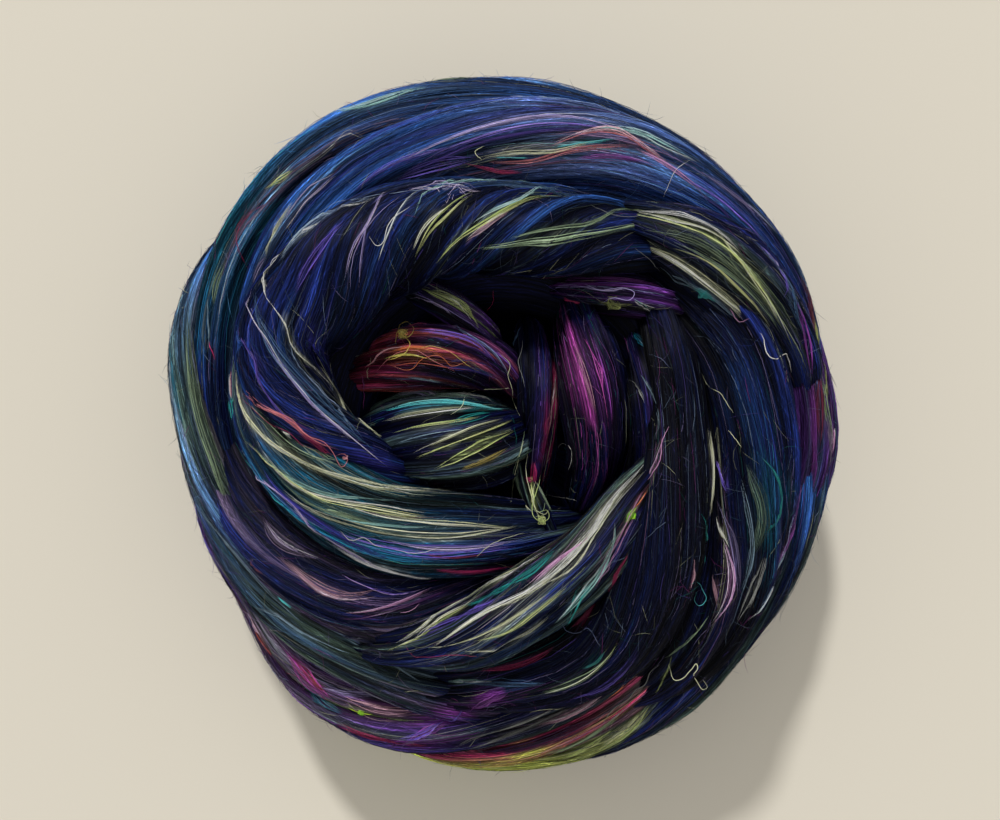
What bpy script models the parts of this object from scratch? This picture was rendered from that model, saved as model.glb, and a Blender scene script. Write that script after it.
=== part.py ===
"""A ball of wool and silk roving, wound by hand into a low nest.

One long untwisted strand lies round and round itself. The lower courses stand on edge round the
outside, the last turns roll over the crown and dive into the hollow, and the strand's end is tucked
across the hollow in short bundles. The whole winding is one soft body, and is one solid here: each
course is swept along its own route, then all of them are fused and cut flat where the ball rests.

Lengths are in millimetres until a mesh is made, and in metres there. The ball's axis is the Z axis.
"""
import math
from collections import namedtuple

import bpy
import numpy as np

MM = 0.001

# The middle of the ring that every course is wound round. A course's outer face looks away from it.
RING_RADIUS = 52.0
RING_HEIGHT = 42.0

# How finely a course is swept: the points its route is first read at, the distance between its
# sections and the sides of each.
ROUTE_POINTS = 400
STEP = 3.0
SIDES = 36

# The soft locks that run along a course, at their full depth where it is this thick or more.
LOCKS = 7
LOCK_DEPTH = 2.6
LOCK_FULL_AT = 10.0

# The fused skin: its grid, how often it is eased, and the share of its triangles that is kept.
SKIN_VOXEL = 2.2
SKIN_EASING = 3
SKIN_TRIANGLES = 0.21

# The filling turns, which no side shows: a ring, and a plug in the middle that is swept in rings.
FILLING_RADIUS = 24.0
FILLING_PLACE = 52.0
FILLING_HEIGHT = 37.0
PLUG_RADIUS = 44.0
PLUG_TOP = 53.0
PLUG_BOTTOM = -3.0
PLUG_RINGS = 15

# The flat spot is cut at the table by a slab of this size.
SLAB_SIZE = 400.0
SLAB_DEPTH = 40.0

ROVING_COLOUR = (0.018, 0.035, 0.12, 1.0)

# A section of a course: its angle round the ball in degrees, the distance of its middle from the
# axis, the height of its middle, half its breadth across the winding and half its thickness.
Section = namedtuple("Section", "angle radius height half_width half_thick")

# A section of a tucked end in the hollow, by its place instead of its angle.
Tuck = namedtuple("Tuck", "x y height half_width half_thick")

# How far a course's fibres turn round it from end to end, in degrees, and its sections.
Course = namedtuple("Course", "twist sections")

COURSES = {
    "crown_lobe": Course(375, (
        Section(44, 62, 60, 3, 4),
        Section(57, 58, 66, 9, 10),
        Section(75, 52, 69, 12, 14),
        Section(97, 52, 71, 13, 15),
        Section(119, 55, 71, 14, 15),
        Section(140, 57, 71, 15, 15),
        Section(158, 58, 69, 13, 14),
        Section(172, 50, 67, 11, 13),
        Section(189, 36, 63, 8, 10),
        Section(216, 22, 55, 3, 5),
    )),
    "left_lobe": Course(-50, (
        Section(148, 68, 50, 6, 7),
        Section(160, 63.5, 57, 8.5, 10.5),
        Section(172, 59, 62, 10.5, 12.5),
        Section(187, 52, 64, 12, 14),
        Section(206, 42, 64, 12, 14),
        Section(236, 30, 62, 12, 13),
        Section(281, 27, 57, 9, 10),
        Section(318, 34, 48, 4, 5),
    )),
    "lower_left_lobe": Course(-10, (
        Section(178, 73, 44, 6, 7),
        Section(198, 66, 52, 10, 12),
        Section(215, 60, 55, 11, 13),
        Section(235, 54, 56, 11, 13),
        Section(260, 45, 54, 10, 11),
        Section(294, 39, 48, 5, 6),
    )),
    "bright_lobe": Course(20, (
        Section(232, 66, 54, 2, 4),
        Section(244, 59, 61, 6, 9),
        Section(257, 52.5, 65, 8.5, 12),
        Section(277, 44, 67, 10, 14),
        Section(306, 39, 67, 10, 14),
        Section(333, 39, 64, 9, 12),
        Section(358, 44, 61, 4, 7),
    )),
    "dark_lobe": Course(60, (
        Section(250, 66, 50, 6, 8),
        Section(271, 62, 56, 9, 12),
        Section(293, 60, 61, 11, 14),
        Section(313, 53.5, 64, 12, 15),
        Section(337, 47, 65, 11, 14),
        Section(361, 45.5, 63, 9, 12),
        Section(385, 48, 60, 8, 11),
        Section(408, 54, 53, 5, 7),
    )),
    "right_lobe": Course(130, (
        Section(290, 75, 42, 3, 4),
        Section(303, 74, 49, 8, 10),
        Section(317, 71.5, 55, 10, 12.5),
        Section(332, 68, 58, 11, 14),
        Section(348, 64.5, 61, 11.5, 15),
        Section(364, 63.5, 62, 11, 15),
        Section(380, 64, 61, 10.5, 14),
        Section(398, 63, 58, 10, 12),
        Section(418, 60, 53, 5, 6),
    )),
    "lime_lobe": Course(-30, (
        Section(3, 78.5, 48, 2, 4),
        Section(13, 76.5, 58, 6, 9),
        Section(25, 73, 64, 9, 12),
        Section(39, 69, 68, 10.5, 13),
        Section(52, 64.5, 67, 8, 11),
        Section(62, 61, 63, 5, 8),
        Section(71, 58, 57, 2.5, 5),
    )),
    "top_course": Course(120, (
        Section(-4, 77, 46, 7, 8),
        Section(17, 77, 52, 8, 11),
        Section(36, 77, 57, 10, 13),
        Section(51, 76, 59, 10, 14),
        Section(67, 75, 60, 11, 15),
        Section(84, 73, 60, 12, 15),
        Section(102, 72, 60, 11, 14),
        Section(120, 72, 59, 10, 13),
        Section(138, 71, 56, 9, 11),
        Section(158, 70, 50, 6, 7),
    )),
    "navy_course": Course(-40, (
        Section(-30, 75, 38, 8, 6),
        Section(-8, 81, 42, 15, 9),
        Section(20, 81, 45, 18, 9),
        Section(45, 83, 46, 18, 10),
        Section(72, 84.5, 45, 18, 10),
        Section(95, 86, 44, 18, 10),
        Section(120, 87, 43, 18, 10),
        Section(145, 83, 43, 17, 10),
        Section(168, 76, 43, 14, 9),
        Section(195, 69, 43, 9, 7),
    )),
    "grey_course": Course(120, (
        Section(126, 80, 24, 8, 6),
        Section(144, 85, 29, 14, 9),
        Section(160, 85, 35, 17, 9),
        Section(177, 79.3, 40, 17, 9),
        Section(194, 75.8, 44, 15, 9),
        Section(212, 72.5, 48, 13, 9),
        Section(235, 69, 51, 12, 9),
        Section(260, 68, 50, 10, 9),
        Section(286, 70, 43, 6, 6),
    )),
    "striped_course": Course(100, (
        Section(178, 76, 18, 9, 6),
        Section(196, 79, 25, 14, 8),
        Section(214, 77, 31, 15, 9),
        Section(232, 81.5, 35, 15, 10),
        Section(251, 80, 40, 14, 10),
        Section(271, 75, 44, 12, 9),
        Section(292, 71, 46, 10, 8),
        Section(316, 68, 44, 6, 5),
    )),
    "crimson_course": Course(0, (
        Section(238, 79, 22, 9, 6),
        Section(255, 83, 29, 13, 8),
        Section(273, 81, 35, 14, 9),
        Section(290, 77, 41, 13, 9),
        Section(308, 73, 44, 11, 8),
        Section(338, 68, 46, 6, 5),
    )),
    "lime_course": Course(0, (
        Section(236, 82, 16, 8, 6),
        Section(253, 84.3, 22, 12, 8),
        Section(271, 85, 28, 13, 9),
        Section(288, 84.5, 34, 12, 8),
        Section(304, 79, 38, 10, 7),
        Section(324, 73, 40, 6, 5),
    )),
    "right_course": Course(100, (
        Section(264, 80, 20, 9, 6),
        Section(284, 84.5, 26, 14, 8),
        Section(302, 83.5, 32, 16, 9),
        Section(320, 80.8, 37, 16, 9),
        Section(338, 80, 40, 15, 9),
        Section(357, 80.5, 43, 14, 9),
        Section(380, 79, 44, 8, 6),
    )),
    "low_course_right": Course(90, (
        Section(-62, 65, 14, 9, 7),
        Section(-32, 70, 16, 15, 11),
        Section(20, 71, 19, 17, 12),
        Section(70, 73, 21, 17, 12),
        Section(115, 74, 23, 16, 12),
        Section(150, 71, 26, 13, 10),
        Section(180, 66, 28, 8, 7),
    )),
    "low_course_left": Course(90, (
        Section(108, 65, 14, 9, 7),
        Section(140, 70, 16, 15, 11),
        Section(185, 70, 17, 16, 12),
        Section(230, 71, 18, 16, 12),
        Section(275, 73, 20, 16, 12),
        Section(312, 71, 23, 14, 11),
        Section(345, 67, 26, 8, 7),
    )),
    "base_spiral": Course(260, (
        Section(0, 20, 13, 10, 13),
        Section(120, 29, 12, 13, 14),
        Section(300, 42, 12, 14, 15),
        Section(480, 54, 12, 14, 15),
        Section(660, 62, 13, 13, 15),
        Section(740, 63, 18, 8, 9),
    )),
    "filling": Course(0, (
        Section(0, FILLING_PLACE, FILLING_HEIGHT, FILLING_RADIUS, FILLING_RADIUS),
        Section(200, FILLING_PLACE, FILLING_HEIGHT, FILLING_RADIUS, FILLING_RADIUS),
        Section(400, FILLING_PLACE, FILLING_HEIGHT, FILLING_RADIUS, FILLING_RADIUS),
    )),
}

TUCKED_ENDS = {
    "orange_tuck": Course(-120, (
        Tuck(-42, 14, 47, 4, 6),
        Tuck(-30, 18, 55, 7.5, 9),
        Tuck(-16, 20, 59, 9, 11),
        Tuck(-3, 18, 55, 8, 9),
        Tuck(8, 11, 47, 4, 6),
    )),
    "teal_tuck": Course(100, (
        Tuck(-37, -0.5, 45, 6.5, 7),
        Tuck(-25, -0.5, 54, 12, 12.5),
        Tuck(-12, -1.5, 58, 13.5, 13.5),
        Tuck(0, -1.5, 54, 11.5, 11.5),
        Tuck(10, 0, 45, 5.5, 6),
    )),
    "red_tuck": Course(-80, (
        Tuck(7, 31, 45, 4, 6),
        Tuck(9, 18, 53, 6, 10),
        Tuck(10, 6, 56, 6, 11),
        Tuck(10, -5, 53, 5, 9),
        Tuck(9, -19, 45, 3, 5),
    )),
    "magenta_tuck": Course(70, (
        Tuck(19, 37, 46, 5, 7),
        Tuck(21.5, 23, 57, 8.5, 12),
        Tuck(24, 9, 61, 9.5, 13),
        Tuck(24.5, -5, 57, 8, 11),
        Tuck(20, -20, 46, 4, 6),
    )),
    "violet_tuck": Course(150, (
        Tuck(37, 36, 44, 5, 7),
        Tuck(39, 21, 53, 8, 12),
        Tuck(39, 6, 56, 8, 12),
        Tuck(37, -7, 53, 7, 10),
        Tuck(28, -20, 45, 4, 6),
    )),
    "end_tuft": Course(-100, (
        Tuck(4, 1, 49, 2, 4),
        Tuck(6.5, -12, 55, 2.6, 6),
        Tuck(11, -22, 56, 3.4, 6),
        Tuck(15, -29, 50, 2, 4),
    )),
    "purple_tuft": Course(20, (
        Tuck(12, 38, 50, 3, 6),
        Tuck(26, 36, 57, 6, 9),
        Tuck(40, 34, 58, 6, 9),
        Tuck(51, 31, 53, 4, 6),
    )),
    "pale_tuft": Course(60, (
        Tuck(-29, 41, 49, 4, 6),
        Tuck(-18, 36, 56, 5, 9),
        Tuck(-8, 29, 56, 5, 9),
        Tuck(0, 22, 49, 3, 5),
    )),
}


def smooth(knots, rows, at):
    """Each column of rows as a cubic curve through them, with the slopes of the rows on each side."""
    slopes = np.gradient(rows, knots, axis=0)
    low = np.clip(np.searchsorted(knots, at, side="right") - 1, 0, len(knots) - 2)
    span = (knots[low + 1] - knots[low])[:, None]
    part = (at - knots[low])[:, None] / span
    rise = 3 * part ** 2 - 2 * part ** 3
    bend_in = part * (1 - part) ** 2 * span
    bend_out = part ** 2 * (part - 1) * span
    return rows[low] * (1 - rise) + rows[low + 1] * rise + slopes[low] * bend_in + slopes[low + 1] * bend_out


def evenly_along(knots, rows, to_points):
    """The smooth curve through the rows, read at points about STEP apart along its length."""
    fine = np.linspace(knots[0], knots[-1], ROUTE_POINTS)
    points = to_points(smooth(knots, rows, fine))
    length = np.concatenate(([0.0], np.cumsum(np.linalg.norm(np.diff(points, axis=0), axis=1))))
    count = max(4, int(round(length[-1] / STEP)))
    return smooth(knots, rows, np.interp(np.linspace(0, length[-1], count + 1), length, fine))


def round_the_axis(rows):
    """Points in space from rows of angle, radius and height."""
    turn = np.radians(rows[:, 0])
    return np.stack((rows[:, 1] * np.cos(turn), rows[:, 1] * np.sin(turn), rows[:, 2]), axis=1)


def unit(vectors):
    """The same directions, one millimetre long."""
    return vectors / np.linalg.norm(vectors, axis=1, keepdims=True)


def course_route(sections):
    """A course's middle line, its outward directions and its two half sizes."""
    rows = np.array(sections, float)
    rows = evenly_along(rows[:, 0], rows, round_the_axis)
    points = round_the_axis(rows)
    ring_rows = np.column_stack((rows[:, 0], np.full((len(rows), 2), (RING_RADIUS, RING_HEIGHT))))
    return points, points - round_the_axis(ring_rows), rows[:, 3], rows[:, 4]


def tuck_route(sections):
    """A tucked end's middle line, which faces straight up, and its two half sizes."""
    rows = np.array(sections, float)
    chords = np.linalg.norm(np.diff(rows[:, :3], axis=0), axis=1)
    rows = evenly_along(np.concatenate(([0.0], np.cumsum(chords))), rows, lambda read: read[:, :3])
    upward = np.tile((0.0, 0.0, 1.0), (len(rows), 1))
    return rows[:, :3], upward, rows[:, 3], rows[:, 4]


def sweep(route, twist):
    """A strand carried along its route: an ellipse with soft locks, which turn with the twist.

    The angle around goes from one edge of the strand over its outer face. A point is the middle, plus
    half the width times the cosine across, plus half the thickness times the sine outwards. Both
    halves are less by the groove between two locks, which is deepest where the cosine is nought.
    """
    points, outward, half_width, half_thick = route
    along = unit(np.gradient(points, axis=0))
    outward = unit(outward - along * np.sum(outward * along, axis=1, keepdims=True))
    across = np.cross(along, outward)
    around = np.linspace(0, 2 * math.pi, SIDES, endpoint=False)[None, :]
    turned = np.radians(twist) * np.linspace(0, 1, len(points))[:, None]
    fade = np.minimum(1, half_thick / LOCK_FULL_AT)[:, None]
    groove = LOCK_DEPTH * fade * (1 - np.abs(np.cos(0.5 * LOCKS * (around - turned))))
    reach_across = (half_width[:, None] - groove) * np.cos(around)
    reach_out = (half_thick[:, None] - groove) * np.sin(around)
    skin = points[:, None] + reach_across[..., None] * across[:, None]
    skin = skin + reach_out[..., None] * outward[:, None]
    return skin.reshape(-1, 3), points[[0, -1]]


def shell_faces(rings, first):
    """Quads between a shell's rings of points, and a fan of triangles to the point at each end."""
    faces = []
    for row in range(rings - 1):
        for side in range(SIDES):
            beside = (side + 1) % SIDES
            here = first + row * SIDES
            there = here + SIDES
            faces.append((here + side, there + side, there + beside, here + beside))
    start = first + rings * SIDES
    last = start - SIDES
    for side in range(SIDES):
        beside = (side + 1) % SIDES
        faces.append((first + side, first + beside, start))
        faces.append((last + beside, last + side, start + 1))
    return faces


def plug():
    """The filling turns in the middle, as an upright egg shape: its rings of points and its two ends."""
    middle = 0.5 * (PLUG_TOP + PLUG_BOTTOM)
    half_height = 0.5 * (PLUG_TOP - PLUG_BOTTOM)
    tilt = np.linspace(0.5 * math.pi, -0.5 * math.pi, PLUG_RINGS + 2)[1:-1]
    around = np.linspace(0, 2 * math.pi, SIDES, endpoint=False)
    radius = PLUG_RADIUS * np.cos(tilt)[:, None]
    height = np.repeat(middle + half_height * np.sin(tilt), SIDES)
    skin = np.stack(((radius * np.cos(around)).ravel(), (radius * np.sin(around)).ravel(), height), axis=1)
    return skin, np.array(((0, 0, PLUG_TOP), (0, 0, PLUG_BOTTOM)))


def wound_mesh():
    """All the courses, tucked ends and filling as closed shells in one mesh, in metres."""
    shells = [sweep(course_route(course.sections), course.twist) for course in COURSES.values()]
    shells += [sweep(tuck_route(end.sections), end.twist) for end in TUCKED_ENDS.values()]
    shells.append(plug())
    points = []
    faces = []
    first = 0
    for skin, ends in shells:
        faces += shell_faces(len(skin) // SIDES, first)
        points += [skin, ends]
        first += len(skin) + len(ends)
    mesh = bpy.data.meshes.new("roving")
    mesh.from_pydata((np.concatenate(points) * MM).tolist(), [], faces)
    return mesh


def roving_material():
    """Deep blue wool with a soft sheen."""
    material = bpy.data.materials.new("blue_wool")
    material.use_nodes = True
    shader = material.node_tree.nodes["Principled BSDF"]
    shader.inputs["Base Color"].default_value = ROVING_COLOUR
    shader.inputs["Roughness"].default_value = 0.6
    shader.inputs["Metallic"].default_value = 0.0
    shader.inputs["Sheen Weight"].default_value = 0.3
    return material


def add_table_slab():
    """The slab under the table's level that the flat spot is cut by. It is a guide, not a piece."""
    bpy.ops.mesh.primitive_cube_add(size=1)
    slab = bpy.context.active_object
    slab.name = "table_slab"
    slab.scale = (SLAB_SIZE * MM, SLAB_SIZE * MM, SLAB_DEPTH * MM)
    slab.location = (0, 0, -0.5 * SLAB_DEPTH * MM)
    slab.hide_render = True
    slab.display_type = "WIRE"
    return slab


def add_roving():
    """The wound ball: its courses fused into one skin, thinned, and cut flat at the bottom."""
    roving = bpy.data.objects.new("roving", wound_mesh())
    bpy.context.scene.collection.objects.link(roving)
    roving.data.materials.append(roving_material())

    fuse = roving.modifiers.new("fuse", "REMESH")
    fuse.mode = "VOXEL"
    fuse.voxel_size = SKIN_VOXEL * MM
    fuse.use_smooth_shade = True

    ease = roving.modifiers.new("ease", "SMOOTH")
    ease.factor = 0.5
    ease.iterations = SKIN_EASING

    thin = roving.modifiers.new("thin", "DECIMATE")
    thin.ratio = SKIN_TRIANGLES

    flat = roving.modifiers.new("flat_spot", "BOOLEAN")
    flat.operation = "DIFFERENCE"
    flat.solver = "EXACT"
    flat.object = add_table_slab()
    return roving


for old in list(bpy.data.objects):
    bpy.data.objects.remove(old, do_unlink=True)
add_roving()
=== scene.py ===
"""A nest of wool and silk roving, wound by hand: its looks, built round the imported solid.

The strand is navy wool with locks of dyed silk blended in. Lengths are in millimetres until a mesh is
made, and in metres there. The winding's axis is the Z axis, and it rests on the plane z = 0.
"""
import math
from collections import namedtuple

import bpy
import numpy as np
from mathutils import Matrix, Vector
from mathutils.bvhtree import BVHTree


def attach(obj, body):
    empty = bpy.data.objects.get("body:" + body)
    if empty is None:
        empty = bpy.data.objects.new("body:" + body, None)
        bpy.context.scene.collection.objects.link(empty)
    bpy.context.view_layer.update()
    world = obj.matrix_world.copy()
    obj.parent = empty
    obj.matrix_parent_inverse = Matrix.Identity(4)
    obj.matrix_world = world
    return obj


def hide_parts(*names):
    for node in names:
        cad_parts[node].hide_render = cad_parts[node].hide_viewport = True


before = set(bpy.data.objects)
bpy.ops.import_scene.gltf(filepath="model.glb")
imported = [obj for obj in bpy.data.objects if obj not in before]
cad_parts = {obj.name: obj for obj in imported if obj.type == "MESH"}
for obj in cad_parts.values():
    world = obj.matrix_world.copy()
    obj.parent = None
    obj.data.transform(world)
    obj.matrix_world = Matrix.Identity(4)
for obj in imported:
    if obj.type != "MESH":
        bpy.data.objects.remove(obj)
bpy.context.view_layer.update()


# ------------------------------------------------------------------ the table, the light and the view
# The nest lies on a pale, slightly warm table. Daylight falls from beyond the nest, about 44 degrees
# above the table, and the camera looks straight down on it.

MM = 0.001

# The camera's place. It looks straight down.
CAMERA_X = 0.0
CAMERA_Y = 6.3
CAMERA_HEIGHT = 400.0

# The picture is this many pixels wide, its middle is here, and a pixel covers this many millimetres
# of the table.
PICTURE_WIDTH = 1000
PICTURE_MIDDLE_X = 500.0
PICTURE_MIDDLE_Y = 410.0
TABLE_PIXEL = 0.3017
SENSOR_WIDTH = 36.0

camera = bpy.data.cameras.new("camera")
camera.sensor_width = SENSOR_WIDTH
camera.lens = SENSOR_WIDTH * CAMERA_HEIGHT / (TABLE_PIXEL * PICTURE_WIDTH)
camera_object = bpy.data.objects.new("camera", camera)
camera_object.location = Vector((CAMERA_X, CAMERA_Y, CAMERA_HEIGHT)) * MM
bpy.context.scene.collection.objects.link(camera_object)
bpy.context.scene.camera = camera_object
bpy.context.scene.view_settings.view_transform = "Standard"

# The table reaches this far to each side, and is the plane z = 0.
TABLE_HALF = 2000.0
TABLE_COLOUR = (0.72, 0.67, 0.565, 1.0)
TABLE_ROUGHNESS = 0.75

table_mesh = bpy.data.meshes.new("table")
table_corners = [(x * TABLE_HALF * MM, y * TABLE_HALF * MM, 0.0)
                 for x, y in ((-1, -1), (1, -1), (1, 1), (-1, 1))]
table_mesh.from_pydata(table_corners, [], [(0, 1, 2, 3)])
table = bpy.data.objects.new("table", table_mesh)
bpy.context.scene.collection.objects.link(table)
table_finish = bpy.data.materials.new("pale_table")
table_finish.use_nodes = True
table_shader = table_finish.node_tree.nodes["Principled BSDF"]
table_shader.inputs["Base Color"].default_value = TABLE_COLOUR
table_shader.inputs["Roughness"].default_value = TABLE_ROUGHNESS
table_mesh.materials.append(table_finish)

# The way that the sunlight travels, its strength and how broad the sun looks, then the sky's light.
SUN_TRAVEL = (0.12, -0.52, -0.52)
SUN_STRENGTH = 1.88
SUN_BREADTH = math.radians(5)
SKY_COLOUR = (1.0, 0.985, 0.96, 1.0)
SKY_STRENGTH = 0.58

sun = bpy.data.lights.new("sun", "SUN")
sun.energy = SUN_STRENGTH
sun.angle = SUN_BREADTH
sun_object = bpy.data.objects.new("sun", sun)
sun_object.rotation_euler = Vector(SUN_TRAVEL).to_track_quat("-Z", "Y").to_euler()
bpy.context.scene.collection.objects.link(sun_object)

sky = bpy.data.worlds.new("sky")
sky.use_nodes = True
sky_shader = sky.node_tree.nodes["Background"]
sky_shader.inputs["Color"].default_value = SKY_COLOUR
sky_shader.inputs["Strength"].default_value = SKY_STRENGTH
bpy.context.scene.world = sky


# --------------------------------------------------------------------------------- the lowest turns
# The strand starts in a flat spiral on the table, and two turns stand round it. It is carded wool top:
# long fibres combed side by side, without twist, in soft locks.

# The middle of the ring that every course is wound round. A course's outer face looks away from it.
RING_RADIUS = 52.0
RING_HEIGHT = 42.0

# A route is first read at this many points, then at rows this far apart.
ROUTE_POINTS = 600
ROW_STEP = 1.0

# Nothing reaches lower than this above the table.
TABLE_CLEARANCE = 0.2

# The soft locks of the strand: how many go round it, how deep the grooves between them are, and how
# thick the strand is, at half, where they are full deep.
LOCKS = 7
LOCK_DEPTH = 1.6
LOCK_FULL_AT = 10.0

# The finer ropes of fibres: how many go round the strand in each set, how high the first set stands,
# and by which power the finer ones stand lower. Their phases wander by the sum of two sines, each of
# so many radians over so long a stretch.
ROPES = (9, 13, 16, 21, 25, 31, 38)
ROPE_HEIGHT = 0.2
ROPE_FALL = 0.4
ROPE_WANDERS = ((1.6, 23.0), (0.8, 9.0))

# The lumps along the strand: how many go round it in each set, how high they stand, and over which
# length they come and go, with so much more for each that goes round.
LUMPS = (1, 2, 3, 5)
LUMP_HEIGHT = 0.35
LUMP_LENGTH = 7.0
LUMP_LENGTH_MORE = 3.0

# The skin's mean level lies this far inside the strand's ellipse, so that its ropes reach it.
SKIN_REST = 0.9

# The blend's bands: how many go round the strand, from broad to narrow, and how strong each is. They
# wander by so many radians over so long a stretch, and their sum is divided by the last value.
BANDS = ((3, 0.8), (7, 0.8), (12, 0.6), (19, 0.45), (28, 0.35), (43, 0.3))
BAND_WANDER = 1.7
BAND_LENGTH = 26.0
BAND_SUM = 0.85

# A strand has this many sums of bands: one for light and dark, one for each tint that is blended in,
# from the second on, and one for the ragged edges of its streaks.
BAND_SUMS = 5
SHADE_BAND = 0
FIRST_BLEND_BAND = 1
EDGE_BAND = 4

# How strongly a band makes the wool lighter or darker. A blended tint covers the wool by its band
# times the first share, less the second and never more than the third.
BAND_CONTRAST = 0.5
BLEND_COVER = (0.4, 0.2, 0.7)

# A streak is this strong on average, and this much stronger or weaker by a band.
STREAK_LEVEL = 0.7
STREAK_RAGGED = 0.35

# A streak is this share of its breadth at its ends.
STREAK_END = 0.2

# A lock this broad or more is dyed wool, and a narrower one is silk.
WOOL_LOCK = 6.0

# A streak's line has this many points, each evened out with so many on each side. It is sought among
# points of the skin that lie this far apart along the strand, at these angles round it, and that face
# the camera by this cosine or more.
LINE_POINTS = 33
LINE_EVENING = 3
SEARCH_STEP = 0.7
SEARCH_ANGLES = np.radians(np.arange(-70, 251, 1.5))
FACING = 0.05

# The inner side of the nest, which little light reaches, is darker by this much, as a power, where it
# faces the axis. The shade falls off from there by the second value, as a power of the cosine.
HOLLOW_SHADE = 1.3
HOLLOW_FALL = 1.5

# Painted shade between the fibres: the wool's colour darkens this much, as a power, with each
# millimetre that its skin lies deeper than this under the mean level, within these limits.
GROOVE_SHADE = 0.45
GROOVE_START = 0.5
GROOVE_LIMITS = (-1.5, 2.5)

# A course's ends are rounded off over this length.
END_ROUND = 7.0

FULL_TURN = 2 * math.pi

# The colours of the wool and the silk in plain daylight, as red, green and blue of 255.
TINTS = {
    "navy": (28, 58, 106),
    "blue": (36, 80, 156),
    "deep_navy": (10, 19, 56),
    "ink": (6, 8, 34),
    "black": (4, 5, 16),
    "indigo": (46, 44, 126),
    "violet": (108, 88, 190),
    "lilac": (176, 162, 218),
    "slate": (92, 104, 138),
    "steel": (56, 84, 116),
    "haze": (96, 116, 130),
    "pale_blue": (158, 180, 214),
    "pale_teal": (150, 196, 190),
    "cream": (236, 240, 196),
    "lime": (206, 224, 142),
    "bright_lime": (160, 232, 50),
    "sage": (128, 148, 118),
    "moss": (66, 84, 72),
    "olive": (110, 116, 62),
    "teal": (26, 122, 120),
    "deep_teal": (16, 74, 92),
    "turquoise": (92, 204, 212),
    "magenta": (164, 66, 150),
    "pink": (220, 160, 206),
    "rose": (196, 150, 166),
    "crimson": (150, 34, 82),
    "salmon": (232, 138, 146),
    "orange": (212, 112, 66),
    "purple": (104, 46, 120),
    "gold": (212, 190, 96),
    "grey": (136, 138, 134),
    "mauve": (88, 74, 96),
    "dusk": (72, 86, 122),
    "plum": (50, 28, 74),
    "wine": (92, 28, 50),
    "rust": (126, 58, 44),
    "citron": (166, 178, 78),
    "white": (240, 238, 230),
}

# A section of a course: its angle round the nest in degrees, the distance of its middle from the
# axis, the height of its middle, half its breadth across the winding and half its thickness.
Section = namedtuple("Section", "angle radius height half_width half_thick")

# A course of the strand: how far its fibres turn round it from end to end in degrees, or pairs of
# share and turn, then its wool's tints from end to end, the tints blended in, and its sections.
Course = namedtuple("Course", "turn tints blend sections")

# A lock of dyed silk or wool: its tint, its breadth, picture positions along it, and how strongly it
# colours the wool.
Streak = namedtuple("Streak", "tint width path strength", defaults=(0.92,))

# A course ready to be read at any point: its rows, its length, whether its fibres fan, its own
# waves, lumps, bands and tints, how strongly the wool under a silk streak takes its tint, and its
# streaks, each with its line of shares and lanes.
Strand = namedtuple("Strand", "rows length fanned waves lumps bands tints blend under laid")

# The columns of a strand's rows after its middle, across and outward.
HALF_WIDTH = 9
HALF_THICK = 10
TURN = 11

LOW_COURSES = {
    "base_spiral": Course(260, ("deep_navy", "navy"), ("steel",), (
        Section(0, 20, 13, 10, 13),
        Section(120, 29, 12, 13, 14),
        Section(300, 42, 12, 14, 15),
        Section(480, 54, 12, 14, 15),
        Section(660, 62, 13, 13, 15),
        Section(740, 63, 18, 8, 9),
    )),
    "low_course_left": Course(90, ("navy", "deep_navy", "navy", "moss", "navy"), ("steel", "purple"), (
        Section(108, 65, 14, 9, 7),
        Section(140, 70, 16, 15, 11),
        Section(185, 70, 17, 16, 12),
        Section(230, 71, 18, 16, 12),
        Section(275, 73, 20, 16, 12),
        Section(312, 71, 23, 14, 11),
        Section(345, 67, 26, 8, 7),
    )),
    "low_course_right": Course(90, ("deep_navy", "navy", "steel", "navy", "deep_navy"),
                               ("steel", "indigo"), (
        Section(-62, 65, 14, 9, 7),
        Section(-32, 70, 16, 15, 11),
        Section(20, 71, 19, 17, 12),
        Section(70, 73, 21, 17, 12),
        Section(115, 74, 23, 16, 12),
        Section(150, 71, 26, 13, 10),
        Section(180, 66, 28, 8, 7),
    )),
}

# Where fibres fan over the crown they hardly turn along the strand's outer edge, at this section
# angle, and turn freely over the rest of it.
FAN_STILL_AT = math.radians(33)
FAN_STILL_BREADTH = math.radians(22)
FAN_STILLNESS = 0.86


def smooth(knots, rows, at):
    """Each column of rows as a cubic curve through them, with the slopes of the rows on each side."""
    slopes = np.gradient(rows, knots, axis=0)
    low = np.clip(np.searchsorted(knots, at, side="right") - 1, 0, len(knots) - 2)
    span = (knots[low + 1] - knots[low])[:, None]
    part = (at - knots[low])[:, None] / span
    rise = 3 * part ** 2 - 2 * part ** 3
    bend_in = part * (1 - part) ** 2 * span
    bend_out = part ** 2 * (part - 1) * span
    straight = rows[low] * (1 - rise) + rows[low + 1] * rise
    return straight + slopes[low] * bend_in + slopes[low + 1] * bend_out


def length_along(points):
    """How far along their line each point lies, by the straight distances between them."""
    return np.concatenate(([0.0], np.cumsum(np.linalg.norm(np.diff(points, axis=0), axis=1))))


def evenly_along(knots, rows, to_points):
    """The smooth curve through the rows, read at points ROW_STEP apart along it, and its length."""
    fine = np.linspace(knots[0], knots[-1], ROUTE_POINTS)
    length = length_along(to_points(smooth(knots, rows, fine)))
    count = int(round(length[-1] / ROW_STEP))
    at = np.interp(np.linspace(0, length[-1], count + 1), length, fine)
    return smooth(knots, rows, at), length[-1]


def round_the_axis(rows):
    """Points in space from rows of angle, radius and height."""
    turn = np.radians(rows[:, 0])
    return np.stack((rows[:, 1] * np.cos(turn), rows[:, 1] * np.sin(turn), rows[:, 2]), axis=1)


def unit(vectors):
    """The same directions, one millimetre long."""
    return vectors / np.linalg.norm(vectors, axis=-1, keepdims=True)


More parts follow.
